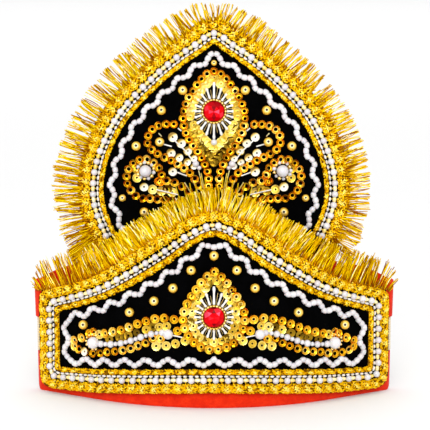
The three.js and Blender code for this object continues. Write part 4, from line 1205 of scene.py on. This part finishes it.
# Lines of overlapping sequins that fill the crest's medallion: pale inside, olive painted shade along the
# point below
CREST_FILL_HIGH = [(0, 162.3), (5.2, 157.4), (8.6, 152.4), (11.2, 147.2), (11.6, 143.2)]
CREST_FILL_INNER = [(11.0, 140.6), (8.2, 136.2), (4.4, 131.2), (0, 127.4)]
CREST_FILL_OUTER = [(11.9, 139.2), (9.4, 133.4), (6.3, 128.0), (3.0, 123.9), (0, 120.4)]
FILL_STEP = 2.3


def filled(line):
    return spaced(line, FILL_STEP).tolist()


CREST_PALE = [*filled(CREST_FILL_HIGH), *filled(CREST_FILL_INNER)[1:], (30.5, 106.7), (26.1, 106),
              (20.6, 105.2), (38.2, 112.5), (12.9, 126.0)]
CREST_SHADED_OLIVE = [*filled(CREST_FILL_OUTER), (1.6, 124.6), (38.4, 117.2), (23.2, 106.9)]
CREST_WHITE = [(20.4, 132.8), (16.2, 129.8), (20.4, 115.7), (34.7, 108), (21.2, 124.9)]
CREST_STRANDS = [(12.9, 126.0, 0.84), (10.0, 122.2, 0.78), (17.1, 122.7, 0.86), (13.3, 120.5, 0.78),
                 (9.9, 118.4, 0.72)]
PALE_LIFT = 0.75
SPREAD = 0.22
for face, label, kinds in (
        (FrontFace, "front", ((FRONT_PALE, PALE_GOLD, "pale"), (FRONT_SHADED_OLIVE, SHADED_OLIVE_GOLD, "olive"))),
        (CrestFace, "crest", ((CREST_PALE, PALE_GOLD, "pale"), (CREST_SHADED_OLIVE, SHADED_OLIVE_GOLD, "olive")))):
    for points, material, kind in kinds:
        copies(f"{label}_{kind}_sequins", flat_sequin, [seated(face, both(points), PALE_LIFT)], material,
               "sequin", jitter=0.06, tilt=SPREAD, seed=43)
# The front has one white sequin, which lies on the cups at the left end
for face, label, spots, lift in ((FrontFace, "front", FRONT_WHITE, CUP_LIFT + 1.0),
                                 (CrestFace, "crest", both(CREST_WHITE), PALE_LIFT)):
    copies(f"{label}_white_sequins", white_disc, [seated(face, spots, lift)], WHITE_SEQUIN, "sequin",
           jitter=0.06, tilt=SPREAD, seed=43)
copies("crest_strand_sequins", white_disc, sized(CrestFace, CREST_STRANDS, PALE_LIFT + 0.5), WHITE_SEQUIN,
       "sequin", jitter=0.05, tilt=SPREAD, seed=44)

# Round beads
GOLD_RADIUS = 2.35
FRONT_BEADS = [(0, 77.6), (10.9, 70.3), (19.7, 61.2), (29.1, 54.3), (41.7, 47.8), (68.3, 38.7)]
CREST_BEADS = [(15.4, 156.2), (25.9, 146.3), (38.4, 128.6), (26.8, 130.6), (34.6, 95.6)]
CREST_SMALL_BEADS = [(0, 169.6, 1.5), (45.4, 102.6, 1.85)]
HOLE_RISE = math.radians(13)
HOLE_SINK = 0.08
# Painted light by degrees from the bead's front pole: a white highlight round the hole, amber shade at the
# edge
BEAD_PAINTED_LIGHT = ((0, 20, 30, 42, 60, 74, 90), (0.95, 0.86, 0.58, 0.46, 0.48, 0.26, 0.0))
gold_bead = turned_shape("gold_bead", ball_profile(GOLD_RADIUS, 14, BEAD_PAINTED_LIGHT), 18)
hole = turned_shape("bead_hole", [(0, 0), (0.65, 0), (0.65, 0.12), (0, 0.16)], 8)
for face, label, beads, small, total in ((FrontFace, "front", FRONT_BEADS, [], 11),
                                         (CrestFace, "crest", CREST_BEADS, CREST_SMALL_BEADS, 13)):
    seats = []
    holes = []
    for along, height, radius in [(*bead, GOLD_RADIUS) for bead in beads] + small:
        spots = both([(along, height)])
        # Each bead hangs with its hole to the front and a little up, whichever way the velvet faces, so the
        # dark hole also stands for a painted dark reflection in the highlight
        turned = face.axes(spots[:, 0])[1][:, 0]
        aside = np.stack([-turned * math.cos(HOLE_RISE), np.full(len(spots), math.sin(HOLE_RISE))], -1)
        out = np.sqrt(1 - (aside ** 2).sum(1))
        lean = 1 / out[:, None]
        size = radius / GOLD_RADIUS
        seats.append(seated(face, spots, GAP + radius, size, aside, lean))
        hole_lift = GAP + radius * (1 + out) - HOLE_SINK
        holes.append(seated(face, spots + radius * aside, hole_lift, size, aside, lean))
    copies(f"{label}_gold_beads", gold_bead, seats, LACQUERED_GOLD, "gold",
           [f"{label}_gold_bead_{i + 1}" for i in range(total)], seed=51)
    copies(f"{label}_bead_holes", hole, holes, HOLE, "gold")

LARGE_RADIUS = 3.0
MIDDLE_RADIUS = 2.5
FRONT_LARGE = (61.8, 30.4)
FRONT_MIDDLE = (22.2, 38.0)
CREST_LARGE = (33.9, 116.2)
large_pearl = turned_shape("large_pearl", ball_profile(LARGE_RADIUS, 12), 20)
front_seats = [seated(FrontFace, both(FRONT_LARGE), GAP + LARGE_RADIUS),
               seated(FrontFace, both(FRONT_MIDDLE), GAP + MIDDLE_RADIUS, MIDDLE_RADIUS / LARGE_RADIUS)]
crest_seats = [seated(CrestFace, both(CREST_LARGE), GAP + LARGE_RADIUS)]
for label, seats, seed in (("front", front_seats, 53), ("crest", crest_seats, 54)):
    count = 2 * len(seats)
    copies(f"{label}_large_pearls", large_pearl, seats, PEARL, "pearl",
           [f"{label}_pearl_{i + 1}" for i in range(count)], seed=seed)

# Chains of small white beads between the sequins
FRONT_CHAIN = [(58.2, 30.0), (51.5, 30.6), (45.6, 31.9), (40.1, 33.9), (34.0, 36.4), (28.9, 38.0),
               (25.2, 38.5)]
CREST_CHAIN = [(9.0, 119.6), (7.3, 117.6)]
CHAIN_STEP = 2.85
CHAIN_LIFT = GAP + 1.6
CHAIN_SIZES = (1.18, 0.8)        # large and small beads take turns
RAY_PEARL = (0.0, 130.4)
for face, label, chain, single in ((FrontFace, "front", FRONT_CHAIN, None),
                                   (CrestFace, "crest", CREST_CHAIN, RAY_PEARL)):
    beads = spaced(chain, CHAIN_STEP)
    sizes = np.take(CHAIN_SIZES, np.arange(len(beads)) % 2)
    seats = [seated(face, part, CHAIN_LIFT, sizes) for part in (beads, mirrored(beads))]
    if single:
        seats.append(seated(face, single, CHAIN_LIFT))
    copies(f"{label}_chain_beads", pearl, seats, PEARL, "pearl", jitter=0.06, seed=55)


def around(middle, wide, high, angles):
    """Points round a middle, anticlockwise from the right."""
    return np.stack([middle[0] + wide * np.cos(angles), middle[1] + high * np.sin(angles)], -1)


# Rings of seeds round the large pearls: closed on the crest, open towards the middle of the front
CREST_RING = 4.1
FRONT_RING_MIDDLE = (63.0, 30.4)
FRONT_RING = (4.4, 3.7)
pearl_ring = around(CREST_LARGE, CREST_RING, CREST_RING, np.linspace(0, math.tau, 14)[:-1])
pearl_ring = np.vstack([pearl_ring, mirrored(pearl_ring)])
end_seeds = both(around(FRONT_RING_MIDDLE, *FRONT_RING, np.radians(np.linspace(-112, 112, 9))))
copies("crest_ring_white_seeds", seed_bead, [seated(CrestFace, pearl_ring[::2], GAP + 0.9, 0.8)], PEARL,
       "pearl", jitter=0.15, seed=56)
copies("front_ring_gold_seeds", seed_bead, [seated(FrontFace, end_seeds, GAP + 1.0, 0.62)], BRIGHT_GOLD,
       "gold", jitter=0.2, seed=58)
copies("crest_ring_gold_seeds", seed_bead, [seated(CrestFace, pearl_ring[1::2], GAP + 0.9, 0.8)],
       BRIGHT_GOLD, "gold", jitter=0.15, seed=57)


# Stones in their settings

def faceted_stone(name, face, middle, wedges, rim, replaced):
    """A cut stone: wedges that meet in the middle, then star, kite and girdle facets. wedges and rim are
    painted light and shade for the facets, every eighth of a turn from the right, anticlockwise."""
    work = bmesh.new()
    across, facing = face.axes(np.array([middle[0]]))
    centre = face.place(np.array([middle[0]]), middle[1], 0.0)[0]

    def ring(radius, lift, count, turn=0.0):
        spots = []
        for i in range(count):
            a = math.tau * (i + turn) / count
            spot = centre + (across[0] * radius * math.cos(a) + UP * radius * math.sin(a)
                             + facing[0] * lift) * MM
            spots.append(work.verts.new(spot))
        return spots

    # Rings of corners from the back to the front: radius, lift, count and turn
    seat = ring(3.0, 0.8, 16)
    low = ring(5.1, 1.5, 16)
    high = ring(5.1, 2.0, 16)
    shoulder = ring(4.35, 3.0, 8)
    table = ring(2.8, 3.75, 8, 0.5)
    point = work.verts.new(centre + facing[0] * 4.0 * MM)
    layer = work.faces.layers.float.new("tone")

    def facet(corners, tone):
        work.faces.new(corners)[layer] = tone

    # Painted shade on the back and girdle facets, painted light and glints on the crown facets
    facet(seat[::-1], 0.1)
    for i in range(16):
        j = (i + 1) % 16
        facet((seat[i], seat[j], low[j], low[i]), 0.1)
        facet((low[i], low[j], high[j], high[i]), 0.3)
    for i in range(8):
        j = (i + 1) % 8
        facet((shoulder[i], high[2 * i - 1], high[2 * i]), 0.7 * rim[i])
        facet((shoulder[i], high[2 * i], high[2 * i + 1]), 0.85 * rim[i])
        facet((table[i], shoulder[i], high[2 * i + 1], shoulder[j]), 0.5 * (rim[i] + wedges[j]))
        facet((table[i - 1], shoulder[i], table[i]), rim[i])
        facet((point, table[i - 1], table[i]), wedges[i])
    bmesh.ops.recalc_face_normals(work, faces=work.faces)
    settle(linked(name, work, RED_STONE), replaced, "stone")


COLLAR_BEADS = 24
COLLAR_BEAD_RING = 5.75
RAYS = 20
RAY = 1.25
RAY_WIRE = 0.24
RAY_START = 6.4
RAY_STEPS = 7
WIRE_REACH = 9.0         # a wire ends halfway between this and the end of the bugle beside it
RAY_ANGLES = np.radians((0, 20, 40, 90, 135, 160, 180))      # from the top, where the reaches are given
RAY_GIRTH = ((0, 0.16, 0.33, 0.67, 0.84, 1), (1.0, 1.1, 0.8, 0.85, 1.35, 0.9))


def setting(label, face, middle, reaches):
    """A beaded gold collar, and white bugles with wires between them set like rays; reaches are how far the
    bugles go, from the top round."""
    shares = np.linspace(0, math.tau, COLLAR_BEADS, endpoint=False)
    beads = np.stack([middle[0] + COLLAR_BEAD_RING * np.sin(shares),
                      middle[1] + COLLAR_BEAD_RING * np.cos(shares)], -1)
    # The collar takes the olive gold of painted shade, dark between its bright beads
    copies(f"{label}_collar", collar, [seated(face, [middle], GAP)], SHADED_OLIVE_GOLD, "gold",
           [f"{label}_setting"], seed=62)
    copies(f"{label}_collar_beads", seed_bead, [seated(face, beads, GAP + 1.7, 0.5)], BRIGHT_GOLD, "gold",
           jitter=0.08, seed=63)
    rays = []
    wires = []
    for i in range(RAYS):
        angle = math.tau * i / RAYS
        reach = np.interp(min(angle, math.tau - angle), RAY_ANGLES, reaches)
        for lines, turn, end, lift in ((rays, 0.0, reach, 0.75),
                                       (wires, math.pi / RAYS, 0.5 * (reach + WIRE_REACH), 0.5)):
            radii = np.linspace(RAY_START, end, RAY_STEPS)
            flat = np.stack([middle[0] + radii * math.sin(angle + turn),
                             middle[1] + radii * math.cos(angle + turn)], -1)
            lines.append(on_face(face, flat, GAP + lift))
    threads(f"{label}_rays", rays, RAY, BUGLE, "pearl", sides=6, seed=64, girth=RAY_GIRTH)
    threads(f"{label}_ray_wires", wires, RAY_WIRE, BRIGHT_GOLD, "gold", sides=4, seed=65)


FRONT_STONE = (0.0, 46.7)
CREST_STONE = (0.0, 145.7)
collar = turned_shape("collar", [(5.2, 0.0), (6.3, 0.0), (6.3, 1.0), (6.0, 1.4), (5.2, 1.6)], 32)
faceted_stone("front_red_stone", FrontFace, FRONT_STONE, (0.76, 0.66, 0.58, 0.7, 0.78, 0.72, 0.62, 0.7),
              (0.5, 1.0, 0.12, 0.96, 0.55, 0.62, 0.15, 0.5), ["front_stone"])
faceted_stone("crest_red_stone", CrestFace, CREST_STONE, (0.95, 0.62, 0.16, 0.5, 0.84, 0.66, 0.3, 0.76),
              (0.6, 0.35, 0.3, 0.75, 0.6, 0.7, 0.2, 0.65), ["crest_stone"])
setting("front", FrontFace, FRONT_STONE, (15.4, 12.4, 10.6, 9.6, 9.8, 10.6, 11.2))
setting("crest", CrestFace, CREST_STONE, (14.4, 12.0, 10.4, 9.6, 10.6, 12.4, 13.8))

# Loose threads that tie the figures together
FRONT_TIES = [[(20.3, 37.4), (15.5, 36.5)]]
CREST_TIES = [[(24.9, 129.4), (20.9, 128.3)], [(17.8, 137.4), (16.1, 136)],
              [(18.2, 115.4), (13.5, 113.6)], [(28.5, 106.7), (23.2, 105.5), (17.9, 104.2)],
              [(19.2, 131), (14.4, 126.4), (9.6, 120.2)]]
FAN = [[(1.3, 96), (0.9, 108)], [(3.4, 96), (4.4, 112)], [(5.6, 96), (6.6, 113)], [(7.8, 96), (9.2, 111)],
       [(10, 96.5), (12, 110)], [(12.6, 97), (15.4, 110)], [(15.6, 97), (18.8, 108)],
       [(18.6, 97.5), (22.6, 107.6)], [(21.8, 98), (26.4, 105)], [(4.6, 106), (6.4, 115)],
       [(7.5, 104), (10.5, 111.5)], [(10.5, 103.5), (14.6, 110.4)], [(5.4, 107), (7.6, 116.4)],
       [(25.8, 133.2), (27.3, 134.9)]]
FAN_THREAD = 0.55
FAN_LIFT = np.array([1.2, 1.9])
TIE_THREAD = 0.7
TIE_LIFT = GAP + 1.4


def on_both_halves(face, lines, lift):
    """Each line and its mirror image, put on a face."""
    return [on_face(face, half, lift) for line in lines for half in (np.array(line), mirrored(line))]


fan_lines = on_both_halves(CrestFace, FAN, FAN_LIFT)
threads("crest_fan_threads", fan_lines, FAN_THREAD, TINSEL, "tinsel", sides=4, seed=72,
        shade=np.linspace(0.55, 1.0, len(fan_lines)))
for face, label, ties in ((FrontFace, "front", FRONT_TIES), (CrestFace, "crest", CREST_TIES)):
    threads(f"{label}_white_ties", on_both_halves(face, ties, TIE_LIFT), TIE_THREAD, WHITE_THREAD, "pearl",
            sides=5, seed=71)

# Camera, light and floor
TARGET = np.array([0.5, FACE_Y + 27.1, 92.9]) * MM
CAMERA_DISTANCE = 1.0
CAMERA_RISE = math.radians(9.2)
IMAGE_SIDE = 430
FOCAL_PIXELS = 2000
SKY = 0.42               # strength of the white room at eye level
SKY_RISE = 1.27          # and how much stronger it is straight overhead


def camera():
    data = bpy.data.cameras.new("camera")
    data.sensor_width = 36.0
    data.lens = data.sensor_width * FOCAL_PIXELS / IMAGE_SIDE
    data.clip_end = 50.0
    eye = bpy.data.objects.new("camera", data)
    eye.location = TARGET + CAMERA_DISTANCE * np.array([0.0, -math.cos(CAMERA_RISE), math.sin(CAMERA_RISE)])
    eye.rotation_euler = (math.pi / 2 - CAMERA_RISE, 0.0, 0.0)
    bpy.context.scene.collection.objects.link(eye)
    bpy.context.scene.camera = eye


def softbox(name, place, size, power, aim=TARGET):
    data = bpy.data.lights.new(name, "AREA")
    data.shape = "RECTANGLE"
    data.size, data.size_y = size
    data.energy = power
    lamp = bpy.data.objects.new(name, data)
    lamp.location = place
    lamp.rotation_euler = (Vector(aim) - Vector(place)).to_track_quat("-Z", "Y").to_euler()
    bpy.context.scene.collection.objects.link(lamp)


def studio():
    """A pale floor, a white room that is brighter overhead, and softboxes round the crown."""
    floor_mesh = bpy.data.meshes.new("floor")
    reach = 14.0
    corners = [(-reach, -reach, 0), (reach, -reach, 0), (reach, reach, 0), (-reach, reach, 0)]
    floor_mesh.from_pydata(corners, [], [(0, 1, 2, 3)])
    material = finish("pale_floor", base_color="#E3E3E3", roughness=0.7, specular_ior_level=0.2)[0]
    floor = linked("floor", floor_mesh, material)
    world = bpy.data.worlds.new("studio")
    world.use_nodes = True
    tree = world.node_tree
    tree.nodes.clear()
    where = add(tree, "ShaderNodeTexCoord")
    split = add(tree, "ShaderNodeSeparateXYZ", {0: where.outputs["Generated"]})
    rise = add(tree, "ShaderNodeMath", {0: split.outputs["Z"], 1: 0.0}, operation="MAXIMUM")
    square = add(tree, "ShaderNodeMath", {0: rise.outputs[0], 1: 2.0}, operation="POWER")
    level = add(tree, "ShaderNodeMath", {0: square.outputs[0], 1: SKY_RISE, 2: SKY},
                operation="MULTIPLY_ADD")
    sky = add(tree, "ShaderNodeBackground", {"Color": "#FFFFFF", "Strength": level.outputs[0]})
    add(tree, "ShaderNodeOutputWorld", {"Surface": sky.outputs[0]})
    bpy.context.scene.world = world
    softbox("key", (-0.12, -1.25, 0.58), (1.3, 1.0), 9.5)
    softbox("glint", (-0.02, -1.1, 0.58), (0.5, 0.42), 3.8)
    softbox("left_fill", (-1.0, -0.25, 0.35), (0.6, 0.6), 1.0)
    softbox("right_fill", (1.0, -0.35, 0.4), (0.6, 0.6), 1.2)
    softbox("backdrop", (0, 2.6, 1.8), (4.5, 3.0), 23, (0, 2.6, 0))
    bpy.context.scene.view_settings.view_transform = "Standard"


camera()
studio()
for shape in SHAPES:
    bpy.data.objects.remove(shape)
